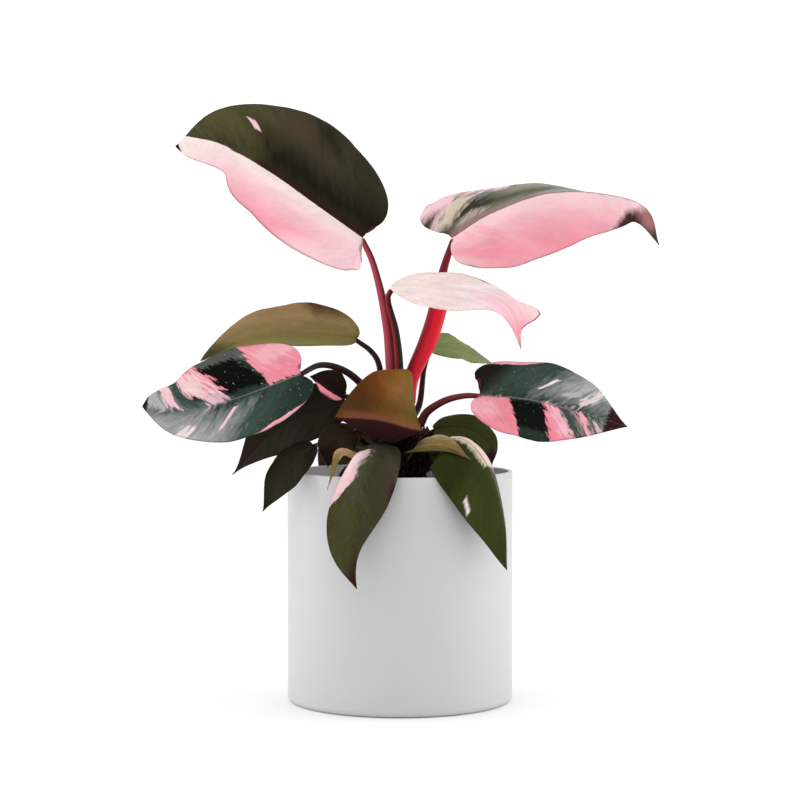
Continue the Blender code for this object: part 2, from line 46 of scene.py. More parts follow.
# paints, as linear red, green and blue
paints = {
    "black": (0.003, 0.004, 0.003),
    "pitch": (0.012, 0.011, 0.006),
    "darkGreen": (0.018, 0.032, 0.022),
    "seaGreen": (0.045, 0.075, 0.058),
    "greyGreen": (0.16, 0.185, 0.165),
    # painted sheen: a grey that stands in for the light's reflection on the marbled leaves
    "silver": (0.44, 0.44, 0.43),
    "darkOlive": (0.03, 0.028, 0.016),
    "olive": (0.055, 0.056, 0.02),
    "moss": (0.085, 0.078, 0.03),
    "umber": (0.062, 0.047, 0.028),
    "leafGreen": (0.042, 0.053, 0.011),
    "paleOlive": (0.17, 0.225, 0.065),
    "bronze": (0.29, 0.22, 0.1),
    "copper": (0.33, 0.205, 0.095),
    "rust": (0.17, 0.05, 0.008),
    "amber": (0.21, 0.085, 0.012),
    "maroon": (0.035, 0.008, 0.01),
    "wine": (0.11, 0.012, 0.025),
    "deepWine": (0.075, 0.008, 0.014),
    "ruby": (0.3, 0.008, 0.02),
    "scarlet": (0.66, 0.012, 0.03),
    "redPink": (0.42, 0.055, 0.08),
    "darkRust": (0.07, 0.028, 0.008),
    "goldOlive": (0.17, 0.135, 0.03),
    "ashGreen": (0.09, 0.1, 0.085),
    "sepia": (0.014, 0.006, 0.004),
    "beige": (0.64, 0.54, 0.42),
    "deepGreen": (0.02, 0.026, 0.005),
    "brownOlive": (0.085, 0.05, 0.014),
    "russet": (0.15, 0.028, 0.022),
    "brick": (0.3, 0.09, 0.085),
    "deepPink": (0.86, 0.27, 0.34),
    "rose": (0.88, 0.4, 0.47),
    "palePink": (0.9, 0.58, 0.63),
    "blush": (0.92, 0.76, 0.74),
    "cream": (0.86, 0.78, 0.66),
    "tan": (0.46, 0.28, 0.13),
    "straw": (0.36, 0.31, 0.2),
}


# node trees

def isSocket(value):
    return isinstance(value, bpy.types.NodeSocket)


def feed(tree, node, inputs):
    # each input takes a link from another node, or a plain value
    for key, value in inputs.items():
        if isSocket(value):
            tree.links.new(value, node.inputs[key])
        else:
            node.inputs[key].default_value = value


def addNode(tree, kind, inputs=None, **settings):
    node = tree.nodes.new(kind)
    for key, value in settings.items():
        setattr(node, key, value)
    feed(tree, node, inputs or {})
    return node


def treeOf(*values):
    return next(value.id_data for value in values if isSocket(value))


def maths(operation, a, b=0.0, c=0.0, clamp=False):
    return addNode(treeOf(a, b, c), "ShaderNodeMath", {0: a, 1: b, 2: c},
                   operation=operation, use_clamp=clamp).outputs[0]


def times(a, b, plus=0.0, clamp=False):
    return maths("MULTIPLY_ADD", a, b, plus, clamp)


def minus(a, b):
    return maths("SUBTRACT", a, b)


def above(value, level, steepness):
    # 0 up to the level, and from there up to 1
    return times(minus(value, level), steepness, clamp=True)


def mixColours(factor, first, second, blend="MIX"):
    first, second = (colour if isSocket(colour) else (*colour, 1.0) for colour in (first, second))
    return addNode(treeOf(factor, first, second), "ShaderNodeMix", {0: factor, 6: first, 7: second},
                   data_type="RGBA", blend_type=blend).outputs[2]


def noiseOver(vector, scale, detail, stretch, rough):
    mapped = addNode(vector.id_data, "ShaderNodeMapping", {"Vector": vector, "Scale": stretch}).outputs[0]
    inputs = {"Vector": mapped, "Scale": scale, "Detail": detail, "Roughness": rough}
    return addNode(vector.id_data, "ShaderNodeTexNoise", inputs).outputs["Fac"]


def objectNoise(tree, scale, detail, stretch=(1, 1, 1)):
    return noiseOver(addNode(tree, "ShaderNodeTexCoord").outputs["Object"], scale, detail, stretch, 0.55)


def newMaterial(name):
    material = bpy.data.materials.new(name)
    material.use_nodes = True
    return material, material.node_tree


def finished(material, colour, roughness, specular=0.5, bump=None):
    # bump is a height, its strength and its depth in metres
    tree = material.node_tree
    inputs = {"Base Color": colour, "Roughness": roughness, "Specular IOR Level": specular}
    if bump:
        inputs["Normal"] = addNode(
            tree, "ShaderNodeBump", dict(zip(("Height", "Strength", "Distance"), bump))).outputs[0]
    feed(tree, tree.nodes["Principled BSDF"], inputs)
    return material


# pieces

def addObject(name, data):
    made = bpy.data.objects.new(name, data)
    bpy.context.scene.collection.objects.link(made)
    return made


def meshObject(name, bm):
    mesh = bpy.data.meshes.new(name)
    bm.to_mesh(mesh)
    bm.free()
    return addObject(name, mesh)


def addPiece(name, bm, materials, nodes=(), smooth=True):
    piece = meshObject(name, bm)
    for material in materials:
        piece.data.materials.append(material)
    if smooth:
        piece.data.shade_smooth()
    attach(piece, "root")
    if nodes:
        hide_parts(*nodes)
    return piece


def arc(across, up, radius, first, last, steps):
    turns = [math.radians(first + (last - first) * step / steps) for step in range(steps + 1)]
    return [(across + radius * math.cos(turn), up + radius * math.sin(turn)) for turn in turns]


def turned(profile, steps):
    # a solid turned on the upright axis from half of its outline
    bm = bmesh.new()
    ring = [bm.verts.new((radius, 0, height)) for radius, height in profile]
    edges = [bm.edges.new(pair) for pair in zip(ring, ring[1:])]
    bmesh.ops.spin(bm, geom=ring + edges, cent=(0, 0, 0), axis=(0, 0, 1), angle=math.tau,
                   steps=steps, use_merge=True)
    bmesh.ops.remove_doubles(bm, verts=bm.verts, dist=0.005 * mm)
    bmesh.ops.recalc_face_normals(bm, faces=bm.faces)
    return bm


def smoothPath(points):
    # a rounded line through the points: share of its length to a place, and the length
    steps = 24
    knots = [2 * points[0] - points[1], *points, 2 * points[-1] - points[-2]]
    dense = []
    for a, b, c, d in zip(knots, knots[1:], knots[2:], knots[3:]):
        for step in range(steps):
            u = step / steps
            dense.append(0.5 * (2 * b + (c - a) * u + (2 * a - 5 * b + 4 * c - d) * u**2
                                + (3 * b - a - 3 * c + d) * u**3))
    dense.append(knots[-2])
    reach = [0.0]
    for a, b in zip(dense, dense[1:]):
        reach.append(reach[-1] + (b - a).length)

    def place(share):
        wanted = share * reach[-1]
        low, high = 0, len(reach) - 1
        while high - low > 1:
            middle = (low + high) // 2
            low, high = (middle, high) if reach[middle] < wanted else (low, middle)
        return dense[low].lerp(dense[high], (wanted - reach[low]) / (reach[high] - reach[low]))

    return place, reach[-1]


def scaled(points):
    return [Vector(point) * mm for point in points]


# pot: a plain satin cylinder with a thin rounded rim and a rounded foot

pot = {
    "radius": 70 * mm, "height": 143 * mm, "wall": 3 * mm, "floor": 4 * mm, "footRound": 4 * mm,
    "lipRound": 0.8 * mm, "fillet": 3 * mm, "steps": 160, "drainHoles": 5, "drainRadius": 3.5 * mm,
    "drainRing": 36 * mm, "colour": (0.548, 0.548, 0.55), "shade": (0.52, 0.52, 0.515), "roughness": 0.36,
    "sharpFrom": 40,
}


def potFinish():
    material, tree = newMaterial("satinWhitePot")
    cloud = objectNoise(tree, 26, 4)
    return finished(material, mixColours(times(cloud, 0.35), pot["colour"], pot["shade"]),
                    times(cloud, 0.12, pot["roughness"]), bump=(objectNoise(tree, 900, 2), 0.12, 0.00015))


def makePot():
    radius, top, floor = pot["radius"], pot["height"], pot["floor"]
    inside, lip, foot, fillet = radius - pot["wall"], pot["lipRound"], pot["footRound"], pot["fillet"]
    profile = [(0, floor), *arc(inside - fillet, floor + fillet, fillet, -90, 0, 4),
               *arc(inside + lip, top - lip, lip, 180, 90, 4), *arc(radius - lip, top - lip, lip, 90, 0, 4),
               *arc(radius - foot, foot, foot, 0, -90, 8), (0, 0)]
    piece = addPiece("plant_pot", turned(profile, pot["steps"]), [potFinish()], ["pot"])
    cutter = bmesh.new()
    for hole in range(pot["drainHoles"]):
        turn = math.tau * hole / pot["drainHoles"]
        centre = Matrix.Translation((pot["drainRing"] * math.cos(turn), pot["drainRing"] * math.sin(turn), 0))
        bmesh.ops.create_cone(cutter, cap_ends=True, segments=32, radius1=pot["drainRadius"],
                              radius2=pot["drainRadius"], depth=4 * floor, matrix=centre)
    cutterPiece = meshObject("drainCutter", cutter)
    drill = piece.modifiers.new("drain holes", "BOOLEAN")
    drill.object, drill.operation, drill.solver = cutterPiece, "DIFFERENCE", "EXACT"
    bpy.context.view_layer.update()
    drilled = bpy.data.meshes.new_from_object(piece.evaluated_get(bpy.context.evaluated_depsgraph_get()))
    piece.modifiers.clear()
    piece.data = drilled
    bpy.data.objects.remove(cutterPiece)
    drilled.set_sharp_from_angle(angle=math.radians(pot["sharpFrom"]))
    print("pot made")


# soil: a mounded, lumpy top, with bark chips and perlite lying on it

soil = {
    "top": 130 * mm, "lump": 1.5 * mm, "mound": 9 * mm, "moundRadius": 46 * mm, "rings": 60, "steps": 150,
    "crumb": 0.7 * mm, "holeTop": 118 * mm, "gap": 0.3 * mm,
    "black": (0.012, 0.008, 0.005), "brown": (0.085, 0.05, 0.03), "grains": (0.2, 0.13, 0.08),
}
chips = {
    "count": 420, "sizes": (1.2 * mm, 3.4 * mm), "flat": 0.42,
    "dark": (0.03, 0.016, 0.009), "brown": (0.12, 0.06, 0.03), "fibre": (0.16, 0.09, 0.05),
}
perlite = {
    "count": 70, "sizes": (0.8 * mm, 1.7 * mm), "flat": 0.85,
    "pores": (0.42, 0.4, 0.36), "white": (0.85, 0.83, 0.78),
}


def soilHeight(x, y):
    lumps = (math.sin(x / (7.1 * mm) + 0.6) * math.cos(y / (8.3 * mm) - 0.4)
             + 0.6 * math.sin(x / (4.3 * mm) - y / (5.7 * mm)))
    near = max(0, 1 - math.hypot(x, y) / soil["moundRadius"])
    return soil["top"] + soil["mound"] * near**1.2 + soil["lump"] * lumps / 1.6


def soilFinish():
    material, tree = newMaterial("pottingMix")
    clods, grains = objectNoise(tree, 160, 6), objectNoise(tree, 900, 3)
    earth = mixColours(clods, soil["black"], soil["brown"])
    colour = mixColours(times(above(grains, 0.62, 9), 0.35), earth, soil["grains"])
    return finished(material, colour, 0.95, 0.2, (maths("ADD", clods, grains), 0.8, 0.0012))


def chipFinish():
    material, tree = newMaterial("barkChips")
    fibre = objectNoise(tree, 420, 4)
    wood = mixColours(objectNoise(tree, 90, 2), chips["dark"], chips["brown"])
    return finished(material, mixColours(fibre, wood, chips["fibre"]), 0.85, 0.25, (fibre, 0.6, 0.0006))


def perliteFinish():
    material, tree = newMaterial("perlite")
    pores = objectNoise(tree, 1100, 3)
    return finished(material, mixColours(pores, perlite["pores"], perlite["white"]), 0.9,
                    bump=(pores, 0.5, 0.0004))


def makeSoil():
    gap = soil["gap"]
    hole, outside = stem["footRadius"] + gap, pot["radius"] - pot["wall"] - gap
    profile = [(0, stem["foot"] - gap), (hole, stem["foot"] - gap), (hole, soil["holeTop"])]
    for ring in range(soil["rings"] + 1):
        profile.append((hole + (outside - hole) * ring / soil["rings"], soil["top"]))
    profile += [(outside, stem["foot"]), (outside, pot["floor"] + 4 * mm),
                (outside - 3 * mm, pot["floor"] + gap), (0, pot["floor"] + gap)]
    bm = turned(profile, soil["steps"])
    for vert in bm.verts:
        if vert.co.z > soil["top"] - mm:
            crumb = noise.noise(vert.co / (2.6 * mm)) + 0.6 * noise.noise(vert.co / (1.3 * mm))
            vert.co.z = soilHeight(vert.co.x, vert.co.y) + soil["crumb"] * crumb
    addPiece("potting_mix", bm, [soilFinish()], ["soil"])

    def scatter(name, bits, material):
        bm = bmesh.new()
        for _ in range(bits["count"]):
            turn, reach = random.uniform(0, math.tau), math.sqrt(random.uniform(0.04, 0.93)) * outside
            x, y = reach * math.cos(turn), reach * math.sin(turn)
            size = random.uniform(*bits["sizes"])
            place = (Matrix.Translation((x, y, soilHeight(x, y) + 0.3 * size))
                     @ Matrix.Rotation(random.uniform(0, math.tau), 4, "Z")
                     @ Matrix.Rotation(random.uniform(-0.5, 0.5), 4, "X")
                     @ Matrix.Diagonal((random.uniform(0.9, 1.7), random.uniform(0.5, 0.9), bits["flat"], 1)))
            made = bmesh.ops.create_icosphere(bm, subdivisions=1, radius=size, matrix=place)
            for vert in made["verts"]:
                vert.co += noise.noise_vector(vert.co / (2 * mm)) * 0.28 * size
        addPiece(name, bm, [material], smooth=False)

    scatter("bark_chips", chips, chipFinish())
    scatter("perlite_grains", perlite, perliteFinish())
    print("soil made")


# stem: short, with a ring wherever a leaf grew

stem = {
    "foot": 100 * mm, "top": 184 * mm, "footRadius": 8 * mm, "topRadius": 9.2 * mm, "ring": 0.7 * mm,
    "ringWidth": 0.8 * mm, "rings": [138 * mm, 148 * mm, 157 * mm, 166 * mm, 175 * mm],
    "steps": 56, "rows": 110,
    "olive": (0.022, 0.014, 0.007), "maroon": (0.026, 0.01, 0.007), "bark": (0.05, 0.028, 0.016),
}


def stemRadius(height):
    share = max(0, (height - soil["top"]) / (stem["top"] - soil["top"]))
    radius = stem["footRadius"] + (stem["topRadius"] - stem["footRadius"]) * min(share, 1)
    for ring in stem["rings"]:
        radius += stem["ring"] * math.exp(-((height - ring) / stem["ringWidth"])**2)
    return radius


def stemFinish():
    material, tree = newMaterial("ringedStem")
    bark = objectNoise(tree, 240, 5, (1, 1, 3.5))
    skin = mixColours(objectNoise(tree, 60, 3), stem["olive"], stem["maroon"])
    return finished(material, mixColours(times(bark, 0.5), skin, stem["bark"]), 0.6, 0.3, (bark, 0.6, 0.0007))


def makeStem():
    rows = stem["rows"]
    profile = [(0, stem["foot"])]
    for row in range(rows + 1):
        height = stem["foot"] + (stem["top"] - stem["foot"]) * row / rows
        inset = mm * (max(0, 1 - (stem["top"] - height) / mm) + max(0, 1 - (height - stem["foot"]) / mm))
        profile.append((stemRadius(height) - inset, height))
    profile.append((0, stem["top"]))
    bm = turned(profile, stem["steps"])
    for vert in bm.verts:
        if math.hypot(vert.co.x, vert.co.y) > mm:
            out = Vector((vert.co.x, vert.co.y, 0)).normalized()
            vert.co += out * 0.35 * mm * noise.noise(vert.co / (3 * mm))
    addPiece("jointed_stem", bm, [stemFinish()], ["stem"])
    print("stem made")


# remains: short brown strips of old sheaths standing off the stem, ragged at the top; their near-black colour
# is partly painted shade, darkening the mass at the plant's base

remains = {
    "count": 84, "low": 130 * mm, "high": 160 * mm, "length": (13, 26), "halfWidth": (3.4, 6.0),
    "flare": (20, 62), "thickness": 0.5 * mm, "rows": 6, "columns": 4,
    # the dark and brown below are the sheaths' colour, partly painted shade of the plant's base
    "dark": (0.006, 0.003, 0.002), "brown": (0.04, 0.018, 0.01), "dry": (0.12, 0.05, 0.025),
}


def remainsFinish():
    material, tree = newMaterial("oldSheath")
    fibre = objectNoise(tree, 300, 5, (1, 1, 0.35))
    dry = times(above(objectNoise(tree, 70, 2), 0.52, 4), 0.35)
    skin = mixColours(fibre, remains["dark"], remains["brown"])
    return finished(material, mixColours(dry, skin, remains["dry"]), 0.75, 0.1, (fibre, 0.6, 0.0006))


def makeRemains():
    bm = bmesh.new()
    for strip in range(remains["count"]):
        share = strip / remains["count"]
        angle = math.radians(270 + 137.5 * strip + random.uniform(-12, 12))
        if strip % 3:  # most of them stand in front
            angle = math.radians(270 + random.uniform(-75, 75))
        height = remains["low"] + (remains["high"] - remains["low"]) * share**1.6
        long, wide = random.uniform(*remains["length"]) * mm, random.uniform(*remains["halfWidth"]) * mm
        flare = math.radians(random.uniform(*remains["flare"]))
        torn = random.uniform(0, 9)
        radius = stemRadius(height)
        made = bmesh.ops.create_grid(bm, x_segments=remains["columns"], y_segments=remains["rows"], size=1)
        for vert in made["verts"]:
            side, up = vert.co.x, (vert.co.y + 1) / 2
            reach = radius + 0.6 * mm + long * (0.25 * up + 0.75 * up**1.6) * math.sin(flare)
            reach -= 1.6 * mm * up * (1 - side**2)
            turn = angle + side * wide * (1 - 0.45 * up**2) / (radius + 0.5 * mm + 0.5 * long * up)
            rise = long * up * math.cos(flare) * (1 + 0.16 * math.sin(5 * side + torn) * up**3)
            vert.co = (reach * math.cos(turn), reach * math.sin(turn), height + rise)
    piece = addPiece("old_sheath_remains", bm, [remainsFinish()])
    solid = piece.modifiers.new("strips", "SOLIDIFY")
    solid.thickness, solid.offset = remains["thickness"], 1
    print("old sheath remains made")


# stalks and roots: round, slightly grooved above, wider where they clasp the stem

tube = {"rings": 44, "sides": 18, "groove": 0.1, "claspLength": 7 * mm, "endRound": 0.8}


def stemSeat(root):
    # where a stalk meets the stem, and the direction out of it: root is an angle in degrees and a height
    angle, height = math.radians(root[0]), root[1] * mm
    out = Vector((math.cos(angle), math.sin(angle), 0))
    return out * (stemRadius(height) - 2 * mm) + Vector((0, 0, height)), out


def stalkFinish(name, lit, shade, middle=0.55, width=0.5, shadeLeft=False, crown=None):
    material, tree = newMaterial(name)
    place = addNode(tree, "ShaderNodeAttribute", attribute_name="stalkPlace").outputs["Vector"]
    along, side, _ = addNode(tree, "ShaderNodeSeparateXYZ", {0: place}).outputs
    if shadeLeft:
        side = minus(1.0, side)
    streaks = noiseOver(place, 1.0, 4.0, (7, 11, 9), 0.5)
    # painted shade: around the tube the colour runs from the lit paint to the shade paint, darker on the side
    # away from the light
    shaded = times(minus(side, middle), 1 / width, times(streaks, 1.2, -0.6))
    colour = mixColours(maths("ADD", shaded, 0.5, clamp=True), paints[lit], paints[shade])
    if crown:
        colour = mixColours(times(times(along, 9.0, -6.2, clamp=True), 0.85), colour, paints[crown])
    colour = mixColours(times(times(along, -9.0, 1.0, clamp=True), 0.7), colour, paints["maroon"])
    colour = mixColours(times(above(objectNoise(tree, 1400, 2), 0.63, 6), 0.16), colour, paints["rose"])
    return finished(material, colour, 0.38, 0.1, (streaks, 0.25, 0.0003))


def growTube(name, points, radii, material, nodes, clasp=0.0):
    place, length = smoothPath(points)
    bm = bmesh.new()
    bmesh.ops.create_grid(bm, x_segments=tube["rings"], y_segments=tube["sides"], size=1)
    layer = bm.verts.layers.float_vector.new("stalkPlace")
    for vert in bm.verts:
        share, turn = (vert.co.x + 1) / 2, math.pi * (vert.co.y + 1)
        forward = (place(min(share + 0.01, 1)) - place(max(share - 0.01, 0))).normalized()
        side = forward.cross(Vector((0, 1, 0.2))).normalized()
        upper = side.cross(forward)
        before = min(int(share * (len(radii) - 1)), len(radii) - 2)
        part = share * (len(radii) - 1) - before
        radius = radii[before] * (1 - part) + radii[before + 1] * part
        radius *= 1 + clasp * math.exp(-share * length / tube["claspLength"])
        end = min(share, 1 - share) * length
        radius *= math.sqrt(max(0, 1 - max(0, 1 - end / (tube["endRound"] * radius))**2))
        radius *= 1 - tube["groove"] * max(0, math.cos(turn - 1.4))**6 + 0.02 * math.sin(3 * turn + 9 * share)
        vert[layer] = (share, 0.5 - 0.5 * math.cos(turn), math.sin(turn))
        vert.co = place(share) + (side * math.cos(turn) + upper * math.sin(turn)) * radius
    bmesh.ops.remove_doubles(bm, verts=bm.verts, dist=0.004 * mm)
    bmesh.ops.recalc_face_normals(bm, faces=bm.faces)
    addPiece(name, bm, [material], nodes)


# leaves, in millimetres and degrees: their colours are in "looks" below
# root: angle and height on the stem where the stalk starts. radii: the stalk's, from the stem to the blade
# faces: where the upper side looks, at the base and at the tip
# pairs: the left half and the right half, seen from the base with the upper side up, or one number for both
# width, widest: how wide the half is, and where, as a share of the length
# fullness, taper: how blunt it is at the base, and how much sharper it gets by the tip
# lobes: how far the base reaches back. wave: height of the margin's waves
# left, right: the half's rise from the flat at the base and at the tip. curl: further rise by the margin
# corner: where the left margin sticks out, over what length and how far

def leafOf(width, widest=0.38, taper=0.9, fullness=0.65, lobes=0.03, wave=1, left=0, right=0, curl=0, **rest):
    def pair(value):
        return value if isinstance(value, tuple) else (value, value)
    return dict(rest, width=pair(width), widest=pair(widest), taper=pair(taper), fullness=pair(fullness),
                lobes=pair(lobes), wave=wave, rises=(pair(left), pair(right)), curl=pair(curl))


leaves = {
    "upper_left": leafOf(
        stalk=[(-5, 0, 184.3), (-5, 0, 194), (-5.5, 0, 207), (-7.5, 1, 230), (-12, 3, 254), (-17.5, 3, 274)],
        radii=(3.2, 3.4, 3, 2.2, 1.8),
        midrib=[(-23, 2, 288), (-50, -4, 307), (-80, -10, 328), (-107, -16, 342), (-136, -30, 342)],
        faces=[(0, -0.89, 0.46), (0, -0.8, 0.6)], width=(49, 46), widest=(0.24, 0.41), taper=(-0.15, 0.37),
        fullness=(0.4, 0.58), lobes=0.07, wave=0.1, left=(38, 8), right=(23, 22), curl=(0, -8)),
    "upper_right": leafOf(
        stalk=[(5.5, 2.5, 184.3), (6, 2.5, 194), (8.5, 3, 204), (17.5, 4, 224), (24, 6, 246), (27, 7, 267)],
        radii=(4.2, 4.8, 5.8, 5.8, 2.6, 1.8),
        midrib=[(32, 0, 288), (56, 0, 303), (90, -2, 315), (124, -6, 315), (151, -12, 306),
                (159, -18, 282)],
        faces=[(0, -0.6, 0.8), (0.3, -0.5, 0.8)], width=(35.7, 41), widest=(0.22, 0.29), taper=(0.77, 0.38),
        fullness=(0.8, 0.95), lobes=(0.11, 0.075), left=(11, -44), right=(-6, -52), curl=(0, -8)),
    "young_pink": leafOf(
        stalk=[(-1, -6, 184.3), (-1, -6, 194), (-0.5, -6, 209), (-2.8, -5.5, 230), (-7.4, -6, 249)],
        radii=(2.7, 2.6, 2.2, 1.6),
        midrib=[(-6, -8, 257), (18, -18, 256), (46, -28, 252), (65, -38, 243), (73, -44, 219)],
        faces=[(0, -0.8, 0.6), (0.3, -0.8, 0.5)], width=(14, 19), widest=(0.35, 0.39), taper=(0.4, 1.1),
        fullness=(1, 1.25), lobes=0, wave=0.6, left=(8, -7), right=(8, 16), corner=(0.83, 0.066, 17)),
    "mid_left": leafOf(
        root=(140, 179), stalk=[(-12, 9, 192), (-13, 9, 208), (-18, 10, 217)], radii=(2.6, 2, 1.5),
        midrib=[(-27, 10, 225.5), (-57, 16, 228.5), (-92, 24, 226), (-127, 30, 211)],
        faces=[(0, -0.5, 0.85)] * 2, width=(24, 23), widest=(0.35, 0.36), taper=(1.1, 0.13),
        fullness=(0.65, 1), wave=0.6, left=12, right=27),
    "left_marbled": leafOf(
        root=(200, 176), stalk=[(-17, -7, 189), (-32, -13, 204), (-48, -22, 209)], radii=(2.8, 2.2, 1.5),
        midrib=[(-60, -38, 204), (-83, -42, 195), (-109, -46, 186), (-132, -50, 181), (-154, -54, 185)],
        faces=[(0, -0.85, 0.5)] * 2, width=(30, 31), widest=(0.42, 0.4), taper=(0.2, -0.1), lobes=0.08,
        left=12, right=(20, 9), curl=-8),
    "small_left": leafOf(
        root=(215, 167), stalk=[(-18, -14, 177), (-27, -23, 188)], radii=(2.4, 1.4),
        midrib=[(-35, -28, 190), (-43, -30.5, 195), (-49, -33, 199.5), (-54.5, -35, 202.5)],
        faces=[(0, -0.8, 0.6)] * 2, width=(7, 12), widest=0.4, taper=(0.9, 0.5), wave=0.4, left=10, right=30),
    "lower_left": leafOf(
        root=(180, 169), stalk=[(-18, -1, 176), (-27, -3, 184)], radii=(2.6, 1.5),
        midrib=[(-34, -4, 186), (-56, -2, 179), (-81, 2, 165), (-105, 4, 140)],
        faces=[(0, -0.7, 0.7), (-0.3, -0.7, 0.6)], width=22, lobes=0.05, right=10),
    "small_lower_left": leafOf(
        root=(200, 154), stalk=[(-22, -12, 158), (-38, -22, 163)], radii=(2.4, 1.4),
        midrib=[(-53, -33, 161), (-60.5, -39, 155), (-72.5, -44, 140), (-83, -46, 121)],
        faces=[(-0.3, -0.8, 0.5)] * 2, width=(12, 11), widest=0.42, taper=0.7, lobes=0.02, wave=0.6,
        right=10),
    "front_left": leafOf(
        root=(245, 153), stalk=[(-8, -18, 160), (-11, -24.5, 163)], radii=(2.8, 1.3),
        midrib=[(-12, -30, 161.5), (-16, -50, 159), (-20, -66, 151), (-25, -78, 130), (-28, -84, 104),
                (-25, -87, 79)],
        faces=[(0, -0.8, 0.7)] * 2, width=(20.5, 15.8), widest=(0.4, 0.66), taper=(1.7, 0.38),
        fullness=(0.8, 0.85), lobes=0.02, left=(5, 0), right=(10, 13)),
    "front_right": leafOf(
        root=(300, 155), stalk=[(12, -20, 161)], radii=(2.8, 1.6),
        midrib=[(18, -25, 161), (38, -47, 165), (53, -60.5, 148), (62, -62, 116), (64, -58, 87)],
        faces=[(0, -0.8, 0.6), (0, -0.9, 0.4)], width=(10, 33), widest=(0.35, 0.38), taper=(0.9, 0.25),
        fullness=(0.65, 1.7), lobes=0.02, left=(-25, -85), right=27, curl=(0, -47)),
    "centre_bronze": leafOf(
        root=(290, 166), stalk=[(8, -20, 168), (13, -27, 167)], radii=(2.4, 1.5),
        midrib=[(15, -33, 168), (4, -38, 171), (-14, -42, 176), (-39, -46, 178)],
        faces=[(0, -0.6, 0.8)] * 2, width=(12, 35.7), widest=(0.4, 0.375), taper=(0.5, 0.15),
        fullness=(3.2, 2.9), lobes=0, wave=0.8, left=-60, right=(41, 30)),
    "right_marbled": leafOf(
        root=(340, 172), stalk=[(17, -8, 180), (28, -12, 187), (40, -17, 190)], radii=(2.8, 2.2, 1.5),
        midrib=[(49, -20, 190.5), (79, -24, 188), (107, -28, 181), (138, -34, 172)],
        faces=[(0, -0.85, 0.5)] * 2, width=(28, 29.5), widest=(0.48, 0.37), taper=(0.55, 0.37),
        fullness=(0.35, 0.95), lobes=0.09, wave=1.2, left=(14, -5), right=(12, 11), curl=-8),
    "back_right": leafOf(
        root=(50, 177), stalk=[(12.5, 14.5, 185), (15, 15, 205)], radii=(2.2, 1.4),
        midrib=[(18, 16, 219), (32, 26, 219), (48, 38, 214), (62, 50, 208)],
        faces=[(0, -0.5, 0.85)] * 2, width=(17, 15), widest=0.35, wave=0.6, left=10),
    "lower_right": leafOf(
        root=(0, 161), stalk=[(17, -3, 165)], radii=(2.4, 1.5),
        midrib=[(21, -5, 169), (36, -6, 171), (49, -8, 166), (56, -10, 157), (57, -11, 146)],
        faces=[(0, -0.7, 0.7), (0.3, -0.7, 0.7)], width=(11.5, 15), widest=(0.45, 0.38), wave=0.8),
    "inner_left": leafOf(
        root=(222, 160), stalk=[(-16, -15, 166), (-24, -22, 169)], radii=(2.4, 1.5),
        midrib=[(-29, -26, 168), (-38, -32, 164), (-42, -36, 156), (-44, -38, 147)],
        faces=[(-0.2, -0.8, 0.6)] * 2, width=(13, 11), widest=0.4, wave=0.5, right=10),
    "back_left_low": leafOf(
        root=(115, 160), stalk=[(-10, 20, 165), (-14, 28, 168)], radii=(2.8, 1.5),
        midrib=[(-18, 36, 167), (-26, 56, 164), (-32, 72, 151), (-36, 83, 122), (-36, 86, 92)],
        faces=[(-0.2, 0.8, 0.6)] * 2, width=22, lobes=0.04, left=5, right=5),
    "back_right_low": leafOf(
        root=(65, 158), stalk=[(10, 19, 162), (14, 26, 164)], radii=(2.8, 1.5),
        midrib=[(18, 32, 163), (30, 52, 161), (40, 68, 149), (46, 80, 121), (48, 84, 96)],
        faces=[(0.2, 0.8, 0.6)] * 2, width=20, lobes=0.04, left=5, right=5),
}
sheaths = {
    "cataphyll_left": leafOf(
        root=(235, 144),
        midrib=[(-14, -24, 150), (-26, -45, 154), (-35, -58, 157), (-38, -66, 153), (-40, -72, 146),
                (-43, -77, 136)],
        faces=[(0, -0.6, 0.8), (0, -0.8, 0.5)], width=6, widest=0.3, lobes=0, wave=0.4, left=(20, 10),
        right=(20, 10)),
    "cataphyll_right": leafOf(
        root=(280, 145),
        midrib=[(4, -18, 151), (7, -32, 157), (15, -46, 161), (28, -57, 161.5), (42, -66, 154)],
        faces=[(0, -0.6, 0.8), (0, -0.8, 0.5)], width=7, widest=0.6, lobes=0, wave=0.4, left=(20, 10),
        right=(20, 10)),
}
aerialRoots = {
    "aerial_root_left": dict(root=(212, 146), path=[(-20, -14, 150), (-33, -24, 146)], foot=(-40, -30)),
    "aerial_root_right": dict(root=(20, 150), path=[(17, 6, 151), (23, 9, 143)], foot=(26, 11)),
}
blade = {
    "thickness": 0.55 * mm, "ribThickness": 2.0 * mm, "ribHalfWidth": 1.7 * mm, "notch": 0.06,
    "tipFullness": 0.65, "marginPower": 1.9, "ribPower": 2.4, "risePower": 0.6, "lobePower": 0.7,
    "stations": 84, "rows": 28, "veins": 9, "lean": 0.25, "veinRelief": 0.1 * mm, "ribGroove": 0.35 * mm,
    "grooveWidth": 0.9 * mm, "buckle": 0.5 * mm, "buckleSize": 11 * mm,
    "ribPaint": 0.75 * mm, "ribNarrows": 0.55 * mm,
}


def leafSpine(leaf):
    place, length = smoothPath(scaled(leaf["midrib"]))

    def spine(along):
        if along < 0:
            return place(0) + (place(0.02) - place(0)) * along / (0.02 * length)
        return place(min(along / length, 1))

    return spine, length


def leafFrame(leaf):
    spine, length = leafSpine(leaf)
    first, last = (Vector(face) for face in leaf["faces"])

    def directions(along):
        step = 0.01 * length
        here = min(max(along, step), length - step)
        forward = (spine(here + step) - spine(here - step)).normalized()
        looksTo = first.lerp(last, min(max(along / length, 0), 1))
        upper = (looksTo - forward * looksTo.dot(forward)).normalized()
        return forward, upper, forward.cross(upper)

    return directions


